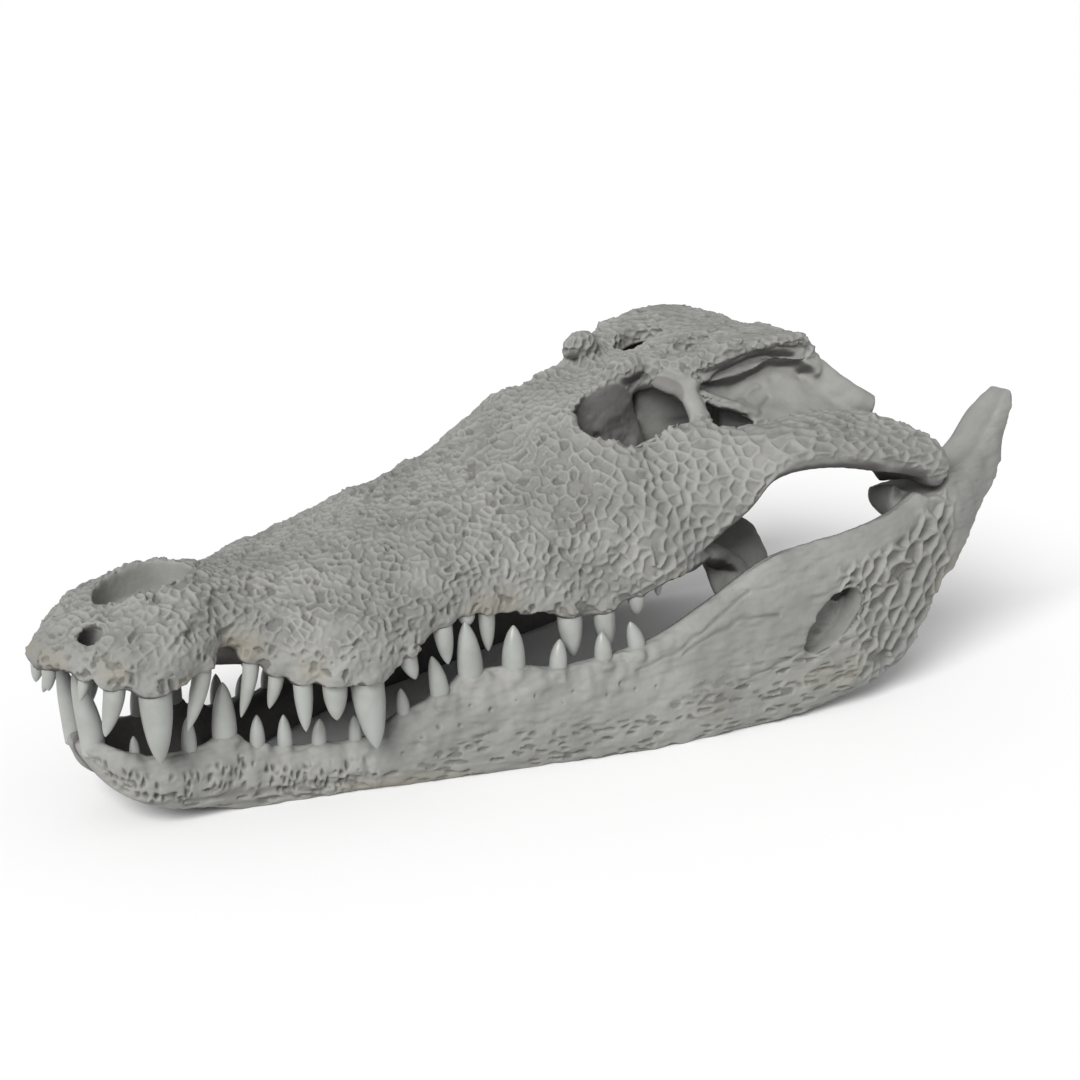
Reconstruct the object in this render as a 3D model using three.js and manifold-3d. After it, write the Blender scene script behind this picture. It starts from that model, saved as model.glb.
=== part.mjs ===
// A crocodile's skull and lower jaw, life size, resting on the jaw with the mouth a little open.
// Millimetres, +Z up. The snout points to -X, the animal's left is -Y, and the floor is z = 0.
import * as THREE from 'three';
import { LoftGeometry } from 'three/addons/geometries/LoftGeometry.js';
import { mergeVertices } from 'three/addons/utils/BufferGeometryUtils.js';
import Module from 'manifold-3d';

const wasm = await Module();
wasm.setup();

// ---- Driving dimensions -------------------------------------------------------------------
const SKULL_LENGTH = 480; // snout tip to the rear edge of the skull table, on the midline
const OVERALL = { from: -0.0063, to: 1.2513 }; // snout tip and jaw end as posed, in skull lengths
const SKULL_PITCH = -3.6; // degrees the skull's palate plane tips, nose down
const JAW_PITCH = -1.8; // degrees the lower jaw's base line tips, nose down
const HINGE = { s: 1.09, z: 0.03 }; // the jaw joint, in the skull's own stations and heights
const HINGE_POSED = { s: 1.0824, z: 0.2583 }; // the same joint over the floor
const JAW_PIVOT = 0.2; // the station about which the lower jaw is tipped
const SEAM = 0.4; // mm of air between neighbouring pieces
const CUT = 0.6; // mm, width of the cuts that part the skull into its regions

// Every place below is in skull lengths: s back from the snout tip, y out from the midline and
// z up, from the palate plane on the skull and from the jaw's own base line on the lower jaw.
const mm = (share) => share * SKULL_LENGTH;
const place = (s, y, z) => new THREE.Vector3(mm(s), mm(y), mm(z));

// ---- Shape helpers ------------------------------------------------------------------------

// A smooth curve through [station, value] pairs, flat beyond its ends.
function profile(...pairs) {
  const slope = (i) => {
    const a = pairs[Math.max(i - 1, 0)];
    const b = pairs[Math.min(i + 1, pairs.length - 1)];
    return (b[1] - a[1]) / (b[0] - a[0]);
  };
  return (s) => {
    if (s <= pairs[0][0]) return pairs[0][1];
    const next = pairs.findIndex(([at]) => at >= s);
    if (next < 0) return pairs[pairs.length - 1][1];
    const [s0, v0] = pairs[next - 1];
    const [s1, v1] = pairs[next];
    const width = s1 - s0;
    const t = (s - s0) / width;
    const start = 2 * t ** 3 - 3 * t ** 2 + 1;
    const tangent0 = (t ** 3 - 2 * t ** 2 + t) * width * slope(next - 1);
    const tangent1 = (t ** 3 - t ** 2) * width * slope(next);
    return start * v0 + tangent0 + (1 - start) * v1 + tangent1;
  };
}

// A three.js geometry as a manifold-3d solid, ready to join and cut.
function solid(geometry) {
  const bare = new THREE.BufferGeometry();
  bare.setAttribute('position', geometry.attributes.position);
  bare.setIndex(geometry.index);
  const merged = mergeVertices(bare, 1e-3);
  return new wasm.Manifold(
    new wasm.Mesh({
      numProp: 3,
      vertProperties: merged.attributes.position.array,
      triVerts: new Uint32Array(merged.index.array),
    }),
  );
}

const join = (pieces) => pieces.reduce((whole, piece) => whole.add(piece));
const carve = (whole, cutters) => cutters.reduce((left, cutter) => left.subtract(cutter), whole);

// A closed loft through rings given in skull lengths. Rings wind anticlockwise seen from the rear
// on the right side (side = 1), and are turned round for the left side (side = -1).
function loft(rings, side = 1) {
  const sections = rings.map((ring) => {
    const points = ring.map(([s, y, z]) => place(s, y * side, z));
    return side < 0 ? points.reverse() : points;
  });
  return solid(new LoftGeometry(sections, { capStart: true, capEnd: true }));
}

// A limb of bone: an oval section carried along a path of [s, y, z, wide, thick] stations.
// across is the direction in which wide is measured.
function limb(stations, across, side = 1, corners = 6) {
  const centres = stations.map(([s, y, z]) => new THREE.Vector3(s, y, z));
  const rings = stations.map(([, , , wide, thick], i) => {
    const before = centres[Math.max(i - 1, 0)];
    const after = centres[Math.min(i + 1, centres.length - 1)];
    const along = after.clone().sub(before).normalize();
    const lift = along.clone().cross(new THREE.Vector3(...across)).normalize();
    const reach = lift.clone().cross(along);
    return Array.from({ length: corners }, (_, k) => {
      const turn = ((k + 0.5) / corners) * 2 * Math.PI;
      const point = centres[i]
        .clone()
        .addScaledVector(reach, wide * Math.cos(turn))
        .addScaledVector(lift, thick * Math.sin(turn));
      return point.toArray();
    });
  });
  return loft(rings, side);
}

// An oval blob or hollow, turned about the skull's long axis by roll degrees.
function oval([s, y, z], [length, width, height], roll = 0, side = 1, steps = [8, 6]) {
  const geometry = new THREE.SphereGeometry(1, ...steps);
  geometry.scale(mm(length), mm(width), mm(height));
  geometry.rotateX(THREE.MathUtils.degToRad(roll * side));
  geometry.translate(mm(s), mm(y * side), mm(z));
  return solid(geometry);
}

// A box between two corners given in skull lengths.
function block([s0, y0, z0], [s1, y1, z1]) {
  const geometry = new THREE.BoxGeometry(mm(s1 - s0), mm(y1 - y0), mm(z1 - z0));
  geometry.translate(mm((s0 + s1) / 2), mm((y0 + y1) / 2), mm((z0 + z1) / 2));
  return solid(geometry);
}

// ---- Teeth --------------------------------------------------------------------------------

const TOOTH_SIDES = 5;
const TOOTH_ROOT = 0.016; // how deep a tooth is set in the bone
const TOOTH_WAIST = { along: 0.55, swell: 0.78 }; // where the crown begins to close to its tip

// A pointed tooth standing on a jaw edge. lean is how far its tip moves back and out, and up is
// 1 on the lower jaw and -1 on the skull.
function tooth({ s, y, z, length, radius, lean = [0, 0] }, up, side) {
  const tip = new THREE.Vector3(s + lean[0], y + lean[1], z + up * length);
  const stages = [[-TOOTH_ROOT / length, 1.04], [TOOTH_WAIST.along, TOOTH_WAIST.swell], [1, 0.06]];
  const rings = stages.map(([along, swell]) => {
    const bow = along > 0 ? along * along : 0; // the crown curves towards its lean
    return Array.from({ length: TOOTH_SIDES }, (_, k) => {
      const turn = (k / TOOTH_SIDES) * 2 * Math.PI * up;
      return [
        s + (tip.x - s) * bow + radius * swell * Math.cos(turn),
        y + (tip.y - y) * bow + radius * swell * Math.sin(turn),
        z + up * length * along,
      ];
    });
  });
  return loft(rings, side);
}

// Upper teeth, one side: [station, crown length, radius, back lean, outward lean].
const UPPER_TEETH = [
  [0.017, 0.023, 0.0075, -0.004, 0.004],
  [0.039, 0.021, 0.0065, -0.004, 0.002],
  [0.061, 0.046, 0.012, -0.006, 0.012],
  [0.099, 0.074, 0.017, 0.004, 0.012],
  [0.155, 0.058, 0.0105, -0.016, 0.002],
  [0.213, 0.056, 0.0085, -0.014, 0.0],
  [0.233, 0.034, 0.0085, -0.008, 0.0],
  [0.254, 0.052, 0.0105, -0.002, 0.004],
  [0.285, 0.04, 0.0135, 0.0, 0.006],
  [0.322, 0.078, 0.0185, 0.006, 0.012],
  [0.371, 0.034, 0.0105, 0.008, 0.0],
  [0.42, 0.045, 0.0105, 0.006, 0.0],
  [0.452, 0.018, 0.009, 0.0, 0.0],
  [0.477, 0.044, 0.009, 0.0, 0.0],
  [0.579, 0.038, 0.0135, 0.003, 0.002],
  [0.62, 0.037, 0.012, 0.004, 0.0],
  [0.661, 0.028, 0.0095, 0.001, 0.0],
];

// Lower teeth, one side, in the same form.
const LOWER_TEETH = [
  [0.054, 0.074, 0.013, -0.012, -0.004],
  [0.088, 0.022, 0.0055, 0.0, 0.0],
  [0.145, 0.04, 0.0085, 0.0, 0.004],
  [0.186, 0.06, 0.0135, 0.002, 0.0],
  [0.221, 0.034, 0.0085, 0.003, 0.0],
  [0.251, 0.034, 0.0085, 0.0, 0.0],
  [0.288, 0.03, 0.0085, 0.002, 0.0],
  [0.327, 0.03, 0.0075, 0.0, 0.0],
  [0.38, 0.028, 0.0075, -0.003, 0.0],
  [0.42, 0.046, 0.011, -0.006, 0.0],
  [0.456, 0.052, 0.0145, -0.004, 0.004],
  [0.504, 0.046, 0.0135, 0.001, 0.0],
  [0.555, 0.036, 0.0105, 0.003, 0.0],
  [0.609, 0.032, 0.0105, -0.003, 0.0],
  [0.65, 0.032, 0.0105, -0.006, 0.0],
];

function toothRow(rows, edge, up, side) {
  return rows.map(([s, length, radius, back, out]) => {
    const [y, z] = edge(s);
    return tooth({ s, y, z, length, radius, lean: [back, out] }, up, side);
  });
}

// ---- Snout --------------------------------------------------------------------------------

// Half-width, height of the tooth-bearing edge and height of the ridge line, by station.
const snoutWidth = profile([0, 0.012], [0.006, 0.027], [0.02, 0.048], [0.045, 0.073], [0.075, 0.093],
  [0.105, 0.102], [0.145, 0.097], [0.17, 0.086], [0.188, 0.08], [0.215, 0.094], [0.26, 0.13],
  [0.32, 0.152], [0.38, 0.151], [0.45, 0.15], [0.52, 0.16], [0.6, 0.178], [0.68, 0.196]);
const snoutEdge = profile([0, 0.028], [0.02, 0.026], [0.04, 0.019], [0.06, 0.01], [0.089, -0.002],
  [0.12, -0.003], [0.15, 0.005], [0.175, 0.014], [0.19, 0.017], [0.204, 0.008], [0.222, -0.01],
  [0.25, -0.026], [0.285, -0.033], [0.325, -0.038], [0.35, -0.03], [0.385, -0.014], [0.42, 0.0],
  [0.45, 0.005], [0.48, 0.0], [0.515, -0.012], [0.56, -0.02], [0.608, -0.03], [0.64, -0.021],
  [0.68, -0.01]);
const snoutTop = profile([0, 0.04], [0.006, 0.044], [0.02, 0.053], [0.055, 0.07], [0.09, 0.085],
  [0.125, 0.096], [0.17, 0.1], [0.2, 0.089], [0.23, 0.081], [0.265, 0.077], [0.3, 0.081],
  [0.355, 0.09], [0.43, 0.106], [0.515, 0.122], [0.575, 0.139], [0.61, 0.156], [0.64, 0.173],
  [0.68, 0.185]);
const SNOUT_STATIONS = [0, 0.006, 0.02, 0.045, 0.08, 0.115, 0.15, 0.172, 0.19, 0.206, 0.235, 0.28,
  0.325, 0.37, 0.42, 0.47, 0.52, 0.575, 0.63, 0.68];
const SNOUT_ARC = 10; // facets over the top of a section
const FLANK = 0.3; // share of the height at which the snout is widest

const upperInset = profile([0.01, 0.02], [0.03, 0.014], [0.06, 0.012]);
const upperEdge = (s) => [snoutWidth(s) - upperInset(s), snoutEdge(s)];

function snoutRing(s) {
  const width = snoutWidth(s);
  const edge = snoutEdge(s);
  const top = snoutTop(s);
  const flank = edge + FLANK * (top - edge);
  const arc = Array.from({ length: SNOUT_ARC + 1 }, (_, k) => {
    const turn = (k / SNOUT_ARC) * Math.PI;
    return [s, width * Math.cos(turn), flank + (top - flank) * Math.sin(turn)];
  });
  const rim = Math.min(0.024, width * 0.4);
  const palate = edge + Math.min(0.018, (top - edge) * 0.25);
  const lip = Math.min(0.006, (flank - edge) * 0.5);
  return [
    ...arc,
    [s, -width + 0.1 * rim, edge + lip],
    [s, -width + 0.5 * rim, edge],
    [s, -width + rim, edge + 0.004],
    [s, -width * 0.5, palate],
    [s, 0, palate + 0.004],
    [s, width * 0.5, palate],
    [s, width - rim, edge + 0.004],
    [s, width - 0.5 * rim, edge],
    [s, width - 0.1 * rim, edge + lip],
  ];
}

// The nostril opening on top, and the hole that the lower front tooth makes on each side.
function nostrilHollow() {
  const geometry = new THREE.CylinderGeometry(1, 1, mm(0.096), 12);
  geometry.rotateX(Math.PI / 2);
  geometry.scale(mm(0.056), mm(0.041), 1);
  geometry.translate(mm(0.137), 0, mm(0.1));
  return solid(geometry);
}

function frontToothHole(side) {
  const geometry = new THREE.CylinderGeometry(mm(0.0125), mm(0.0125), mm(0.12), 8);
  geometry.rotateX(Math.PI / 2 + THREE.MathUtils.degToRad(-30 * side));
  geometry.translate(mm(0.055), mm(0.036 * side), mm(0.05));
  return solid(geometry);
}

// The pit in the palate that takes the tip of the lower front tooth.
function frontToothPit(side) {
  return oval([0.036, 0.024, 0.006], [0.014, 0.013, 0.024], 0, side);
}

// ---- Eye sockets, cheeks and their arches ----------------------------------------------------

const SOCKET = { at: [0.73, 0.086, 0.17], half: [0.069, 0.047], roll: 37, depth: 0.36 };

// The eye socket's bore, square to the slope between brow and cheek.
function socketHollow(side) {
  const geometry = new THREE.CylinderGeometry(1, 1, mm(SOCKET.depth), 12);
  geometry.rotateX(Math.PI / 2);
  geometry.scale(mm(SOCKET.half[0]), mm(SOCKET.half[1]), 1);
  geometry.rotateX(THREE.MathUtils.degToRad(-SOCKET.roll * side));
  const [s, y, z] = SOCKET.at;
  geometry.translate(mm(s), mm(y * side), mm(z));
  return solid(geometry);
}

// The cheek is a leaning plate from the snout back to the jaw joint. Its upper edge runs under
// the eye socket and its lower edge carries on from the tooth row.
const cheekTop = {
  y: profile([0.58, 0.09], [0.65, 0.108], [0.69, 0.122], [0.74, 0.13], [0.8, 0.138], [0.88, 0.15],
    [0.95, 0.162], [1.03, 0.18], [1.07, 0.2], [1.105, 0.225]),
  z: profile([0.58, 0.09], [0.62, 0.122], [0.65, 0.142], [0.69, 0.143], [0.72, 0.146], [0.76, 0.157],
    [0.8, 0.156], [0.85, 0.143], [0.9, 0.138], [0.96, 0.138], [1.03, 0.13], [1.07, 0.112],
    [1.105, 0.086]),
};
const cheekFoot = {
  y: profile([0.58, 0.165], [0.68, 0.192], [0.74, 0.2], [0.81, 0.221], [0.9, 0.239], [0.98, 0.247],
    [1.105, 0.25]),
  z: profile([0.58, -0.02], [0.64, -0.016], [0.68, -0.01], [0.74, 0.018], [0.785, 0.05],
    [0.81, 0.07], [0.84, 0.104], [0.88, 0.113], [0.93, 0.106], [0.98, 0.09], [1.04, 0.07],
    [1.08, 0.052], [1.105, 0.042]),
};
const CHEEK_STATIONS = [0.58, 0.63, 0.67, 0.71, 0.75, 0.785, 0.81, 0.84, 0.88, 0.93, 0.98, 1.03, 1.07,
  1.105];
const CHEEK_THICKNESS = 0.022;
const cheekBulge = profile([0.58, 0.018], [0.68, 0.03], [0.76, 0.02], [0.84, 0.012], [1.105, 0.012]);

// grow swells the section all round, for the cut between the cheek and the braincase.
function cheekRing(s, grow = 0) {
  const top = new THREE.Vector2(cheekTop.y(s), cheekTop.z(s));
  const foot = new THREE.Vector2(cheekFoot.y(s), cheekFoot.z(s));
  const down = foot.clone().sub(top);
  const out = new THREE.Vector2(-down.y, down.x).normalize();
  const spread = 1 + (2 * grow) / down.length();
  const point = (share, lift) => {
    const p = top.clone().addScaledVector(down, 0.5 + (share - 0.5) * spread);
    p.addScaledVector(out, lift + Math.sign(lift + 1e-9) * grow);
    return [s, p.x, p.y];
  };
  const bulge = cheekBulge(s);
  return [
    point(1, -CHEEK_THICKNESS * 0.2),
    point(0.9, bulge * 0.6),
    point(0.6, bulge),
    point(0.3, bulge * 0.7),
    point(0.03, 0),
    point(0.05, -CHEEK_THICKNESS),
    point(0.5, -CHEEK_THICKNESS),
    point(0.95, -CHEEK_THICKNESS),
  ];
}

// ---- Skull table, braincase and their struts --------------------------------------------------

const ROOF_STATIONS = [0.6, 0.64, 0.68, 0.71, 0.74, 0.757, 0.775, 0.795, 0.812, 0.83, 0.86, 0.9, 0.95,
  0.985, 1];
const roofWidth = profile([0.6, 0.05], [0.64, 0.06], [0.68, 0.057], [0.74, 0.056], [0.775, 0.05],
  [0.795, 0.062], [0.812, 0.086], [0.83, 0.102], [0.86, 0.112], [0.9, 0.119], [0.95, 0.125],
  [0.985, 0.128], [1, 0.126]);
const roofTop = profile([0.6, 0.142], [0.64, 0.172], [0.68, 0.19], [0.71, 0.198], [0.74, 0.208],
  [0.765, 0.22], [0.815, 0.218], [0.85, 0.226], [0.9, 0.232], [0.95, 0.228], [0.985, 0.223],
  [1, 0.216]);
const roofDip = profile([0.6, 0], [0.7, 0.006], [0.765, 0.022], [0.81, 0.015], [0.87, 0.008],
  [0.94, 0.005], [1, 0]);
const roofLip = profile([0.8, 0.023], [0.88, 0.021], [0.94, 0.012], [1, 0.01]); // depth of its edge
const ROOF_THICKNESS = 0.024;

function roofRing(s) {
  const width = roofWidth(s);
  const top = roofTop(s);
  const dip = top - roofDip(s);
  const under = dip - ROOF_THICKNESS;
  const lip = roofLip(s);
  return [
    [s, width * 0.99, dip - 0.6 * lip],
    [s, width, (top + dip) / 2 - 0.004],
    [s, width * 0.9, top],
    [s, width * 0.5, (top + 2 * dip) / 3],
    [s, 0, dip],
    [s, -width * 0.5, (top + 2 * dip) / 3],
    [s, -width * 0.9, top],
    [s, -width, (top + dip) / 2 - 0.004],
    [s, -width * 0.99, dip - 0.6 * lip],
    [s, -width * 0.92, dip - lip],
    [s, -width * 0.5, under],
    [s, 0, under - 0.004],
    [s, width * 0.5, under],
    [s, width * 0.92, dip - lip],
  ];
}

// The knob of bone over the front corner of each eye socket.
function browKnob(side) {
  return oval([0.758, 0.042, 0.221], [0.022, 0.014, 0.018], 0, side, [6, 5]);
}

// The pillar that stands on the palate in the front of the eye socket.
function browPillar(side) {
  return limb([
    [0.71, 0.046, 0.19, 0.05, 0.01],
    [0.735, 0.038, 0.14, 0.048, 0.012],
    [0.755, 0.036, 0.08, 0.048, 0.012],
    [0.76, 0.03, 0.014, 0.05, 0.012],
  ], [1, 0, 0], side);
}

// The holes on either side of the skull table.
function tableHole(side) {
  const geometry = new THREE.CylinderGeometry(1, 1, mm(0.09), 10);
  geometry.rotateX(Math.PI / 2);
  geometry.scale(mm(0.034), mm(0.023), 1);
  geometry.translate(mm(0.858), mm(0.044 * side), mm(0.2));
  return solid(geometry);
}

function braincase() {
  const rings = [
    [0.79, 0.03, 0.1, 0.2],
    [0.84, 0.04, 0.07, 0.2],
    [0.9, 0.048, 0.055, 0.2],
    [0.96, 0.056, 0.05, 0.2],
    [1.0, 0.06, 0.06, 0.196],
  ].map(([s, half, low, high]) => [
    [s, half, low + 0.04],
    [s, half, high],
    [s, -half, high],
    [s, -half, low + 0.04],
    [s, -half * 0.6, low],
    [s, half * 0.6, low],
  ]);
  return loft(rings);
}

// The rear wall: from the skull table's corner out and down to the wing over the jaw joint.
function rearWing(side) {
  return limb([
    [0.965, 0.03, 0.15, 0.045, 0.022],
    [0.99, 0.08, 0.15, 0.045, 0.02],
    [1.015, 0.125, 0.14, 0.036, 0.018],
    [1.04, 0.15, 0.132, 0.022, 0.014],
    [1.06, 0.165, 0.126, 0.013, 0.01],
  ], [0, 0, 1], side);
}

// The sheet of bone behind the ear, from under the table's edge to the cheek's upper edge.
function earWall(side) {
  const rings = [
    [0.828, 0.09, 0.2, 0.116, 0.18],
    [0.862, 0.095, 0.2, 0.136, 0.16],
    [0.9, 0.1, 0.206, 0.148, 0.14],
    [0.94, 0.104, 0.204, 0.16, 0.134],
    [0.98, 0.112, 0.198, 0.17, 0.128],
    [1.02, 0.13, 0.172, 0.182, 0.114],
    [1.06, 0.155, 0.135, 0.205, 0.095],
  ].map(([s, yHigh, zHigh, yLow, zLow]) => {
    const yMid = (yHigh + yLow) / 2 - 0.012;
    const zMid = (zHigh + zLow) / 2 - 0.01;
    return [
      [s, yLow, zLow - 0.012],
      [s, yLow, zLow],
      [s, yMid, zMid],
      [s, yHigh, zHigh],
      [s, yHigh - 0.016, zHigh - 0.006],
      [s, yMid - 0.014, zMid - 0.014],
    ];
  });
  return loft(rings, side);
}

// The strut that carries the jaw joint, ending in the joint's roller.
function jointStrut(side) {
  const shaft = limb([
    [0.9, 0.05, 0.12, 0.035, 0.03],
    [0.96, 0.09, 0.11, 0.042, 0.028],
    [1.02, 0.145, 0.088, 0.048, 0.024],
    [1.065, 0.185, 0.066, 0.048, 0.022],
    [1.09, 0.2, 0.048, 0.046, 0.018],
  ], [0.35, 1, 0], side);
  const roller = limb([
    [1.082, 0.154, 0.036, 0.018, 0.016],
    [1.09, 0.178, 0.043, 0.02, 0.016],
    [1.093, 0.2, 0.046, 0.019, 0.015],
    [1.092, 0.222, 0.046, 0.02, 0.017],
    [1.088, 0.246, 0.05, 0.016, 0.018],
  ], [1, 0, 0], side);
  return shaft.add(roller);
}

function eyeBar(side) {
  return limb([
    [0.802, 0.078, 0.206, 0.038, 0.014],
    [0.808, 0.09, 0.194, 0.03, 0.012],
    [0.811, 0.1, 0.182, 0.022, 0.011],
    [0.811, 0.116, 0.163, 0.014, 0.01],
    [0.808, 0.134, 0.14, 0.018, 0.013],
  ], [1, 0, 0], side);
}

// ---- Palate -------------------------------------------------------------------------------

function palateBar() {
  const rings = [
    [0.6, 0.06, -0.005, 0.03],
    [0.66, 0.036, -0.002, 0.024],
    [0.74, 0.03, 0.0, 0.022],
    [0.8, 0.034, -0.004, 0.02],
    [0.85, 0.06, -0.012, 0.012],
    [0.9, 0.062, -0.02, 0.012],
    [0.93, 0.05, -0.016, 0.03],
  ].map(([s, half, low, high]) => [
    [s, half, (low + high) / 2],
    [s, half * 0.7, high],
    [s, -half * 0.7, high],
    [s, -half, (low + high) / 2],
    [s, -half * 0.7, low],
    [s, half * 0.7, low],
  ]);
  return loft(rings);
}

// The wing that hangs inside the lower jaw, and the strut that ties it to the cheek.
function palateWing(side) {
  const wing = limb([
    [0.86, 0.03, -0.004, 0.05, 0.014],
    [0.86, 0.07, -0.004, 0.05, 0.014],
    [0.856, 0.11, -0.01, 0.048, 0.014],
    [0.85, 0.14, -0.03, 0.044, 0.013],
    [0.846, 0.158, -0.06, 0.036, 0.013],
    [0.842, 0.166, -0.085, 0.02, 0.01],
  ], [1, 0, 0], side);
  const strut = limb([
    [0.7, 0.182, 0.004, 0.022, 0.014],
    [0.76, 0.172, 0.006, 0.018, 0.014],
    [0.81, 0.152, -0.014, 0.018, 0.014],
    [0.85, 0.146, -0.046, 0.02, 0.012],
  ], [0, 1, 0], side);
  return wing.add(strut);
}

// The hollow over the palate's rear window, open to the eye socket behind it.
function palateHollow(side) {
  return oval([0.66, 0.088, 0.0], [0.125, 0.042, 0.078], 0, side);
}

function brainStem() {
  return limb([
    [0.945, 0, 0.1, 0.05, 0.035],
    [0.94, 0, 0.05, 0.046, 0.026],
    [0.915, 0, 0.0, 0.05, 0.024],
  ], [0, 1, 0]);
}

const neckKnob = () => oval([1.012, 0, 0.108], [0.02, 0.022, 0.019]);

function spineHole() {
  return oval([1.0, 0, 0.145], [0.05, 0.018, 0.015], 0, 1, [8, 6]);
}

// ---- Lower jaw ------------------------------------------------------------------------------

const jawWidth = profile([0.042, 0.016], [0.05, 0.036], [0.065, 0.055], [0.09, 0.068], [0.12, 0.075],
  [0.19, 0.079], [0.25, 0.09], [0.33, 0.112], [0.42, 0.143], [0.503, 0.169], [0.56, 0.184],
  [0.62, 0.2], [0.7, 0.218], [0.8, 0.236], [0.88, 0.248], [0.95, 0.255], [1.03, 0.257], [1.1, 0.25],
  [1.17, 0.238], [1.22, 0.226], [1.262, 0.214]);
const jawTop = profile([0.042, 0.1], [0.05, 0.106], [0.07, 0.098], [0.09, 0.086], [0.12, 0.083],
  [0.15, 0.08], [0.186, 0.086], [0.22, 0.068], [0.26, 0.059], [0.33, 0.054], [0.35, 0.058],
  [0.37, 0.074], [0.416, 0.092], [0.45, 0.112], [0.503, 0.114], [0.555, 0.104], [0.635, 0.11],
  [0.68, 0.12], [0.745, 0.15], [0.82, 0.187], [0.88, 0.197], [0.94, 0.201], [1.0, 0.21],
  [1.06, 0.23], [1.1, 0.243], [1.14, 0.248], [1.185, 0.271], [1.225, 0.307], [1.262, 0.325]);
const jawFoot = profile([0.042, 0.088], [0.05, 0.074], [0.06, 0.056], [0.075, 0.042], [0.1, 0.028],
  [0.148, 0.015], [0.19, 0.002], [0.215, -0.003], [0.28, -0.006], [0.35, -0.006], [0.42, -0.008],
  [0.5, -0.012], [0.56, -0.016], [0.62, -0.018], [0.7, -0.019], [0.78, -0.018], [0.84, -0.015],
  [0.88, -0.01], [0.93, -0.002], [0.97, 0.004], [1.0, 0.012], [1.04, 0.028], [1.075, 0.054],
  [1.1, 0.084], [1.14, 0.12], [1.17, 0.151], [1.2, 0.186], [1.23, 0.231], [1.25, 0.272],
  [1.262, 0.298]);
const jawThickness = profile([0.042, 0.03], [0.1, 0.034], [0.3, 0.036], [0.5, 0.042], [0.7, 0.044],
  [0.9, 0.046], [1.03, 0.055], [1.08, 0.075], [1.12, 0.078], [1.17, 0.065], [1.22, 0.055],
  [1.262, 0.036]);
const JAW_STATIONS = [0.042, 0.05, 0.06, 0.08, 0.11, 0.15, 0.186, 0.205, 0.225, 0.26, 0.3, 0.335, 0.36,
  0.39, 0.42, 0.46, 0.51, 0.56, 0.62, 0.68, 0.75, 0.82, 0.88, 0.94, 1.0, 1.05, 1.1, 1.14, 1.18, 1.22,
  1.25, 1.262];
const CHIN_JOIN = { from: 0.185, to: 0.225, floor: 0.042 }; // where the two halves part, and the trough
const lowerInset = profile([0.042, 0.013], [0.056, 0.016], [0.1, 0.018], [0.2, 0.013]);
const lowerEdge = (s) => [jawWidth(s) - lowerInset(s), jawTop(s)];

function jawRing(s) {
  const outer = jawWidth(s);
  const top = jawTop(s);
  const foot = jawFoot(s);
  const tall = top - foot;
  const thick = Math.min(jawThickness(s), outer * 0.9);
  const inner = outer - thick;
  const halfSeam = SEAM / 2 / SKULL_LENGTH;
  const apart = THREE.MathUtils.smoothstep(s, CHIN_JOIN.from, CHIN_JOIN.to);
  const meet = (y) => THREE.MathUtils.lerp(halfSeam, y, apart);
  const trough = THREE.MathUtils.clamp(CHIN_JOIN.floor, foot + 0.4 * tall, foot + 0.6 * tall);
  const height = (share) => foot + share * tall;
  const innerTop = height(0.75 + 0.22 * THREE.MathUtils.smoothstep(s, 1.1, 1.15));
  return [
    [s, outer + 0.004, height(0.55)],
    [s, outer, height(0.85)],
    [s, outer - Math.min(0.01, thick * 0.25), top],
    [s, outer - Math.min(0.026, thick * 0.6), height(0.98)],
    [s, THREE.MathUtils.lerp(outer * 0.4, inner, apart), THREE.MathUtils.lerp(trough, innerTop, apart)],
    [s, meet(inner), THREE.MathUtils.lerp(trough - 0.05 * tall, height(0.45), apart)],
    [s, meet(inner + thick * 0.1), foot + Math.min(0.014, tall * 0.15)],
    [s, outer - thick * 0.4, foot],
    [s, outer - thick * 0.08, foot + Math.min(0.008, tall * 0.1)],
    [s, outer + 0.002, height(0.28)],
  ];
}

// The window in the jaw's outer wall, and the hollow for the biting muscle behind it.
function jawWindow(side) {
  const geometry = new THREE.CylinderGeometry(1, 1, mm(0.068), 10);
  geometry.scale(mm(0.05), 1, mm(0.026));
  geometry.rotateY(THREE.MathUtils.degToRad(-38));
  geometry.translate(mm(0.91), mm(0.255 * side), mm(0.1));
  return solid(geometry);
}

function muscleHollow(side) {
  return oval([0.94, 0.208, 0.185], [0.1, 0.024, 0.073], 8, side, [10, 6]);
}

// The saucer that the skull's roller sits in.
function jointSaucer(side) {
  return limb([
    [1.088, 0.1, 0.25, 0.036, 0.038],
    [1.088, 0.16, 0.25, 0.038, 0.038],
    [1.086, 0.2, 0.252, 0.038, 0.032],
    [1.084, 0.29, 0.256, 0.04, 0.034],
  ], [1, 0, 0], side);
}

// The shelf of bone that carries the joint inwards.
function jointShelf(side) {
  return limb([
    [1.09, 0.21, 0.21, 0.045, 0.045],
    [1.09, 0.18, 0.208, 0.036, 0.035],
    [1.092, 0.158, 0.2, 0.028, 0.026],
    [1.092, 0.146, 0.192, 0.018, 0.018],
  ], [1, 0, 0], side);
}

// The scoop in the top of the jaw's rear end.
function rearScoop(side) {
  return limb([
    [1.12, 0.214, 0.258, 0.014, 0.009],
    [1.16, 0.21, 0.267, 0.021, 0.012],
    [1.2, 0.205, 0.291, 0.023, 0.013],
    [1.24, 0.199, 0.324, 0.02, 0.012],
    [1.3, 0.193, 0.366, 0.012, 0.008],
  ], [0, 1, 0], side);
}

function lowerJaw(side) {
  const bone = loft(JAW_STATIONS.map(jawRing), side).add(jointShelf(side));
  const hollows = [jawWindow(side), muscleHollow(side), jointSaucer(side), rearScoop(side)];
  return join([carve(bone, hollows), ...toothRow(LOWER_TEETH, lowerEdge, 1, side)]);
}

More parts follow.
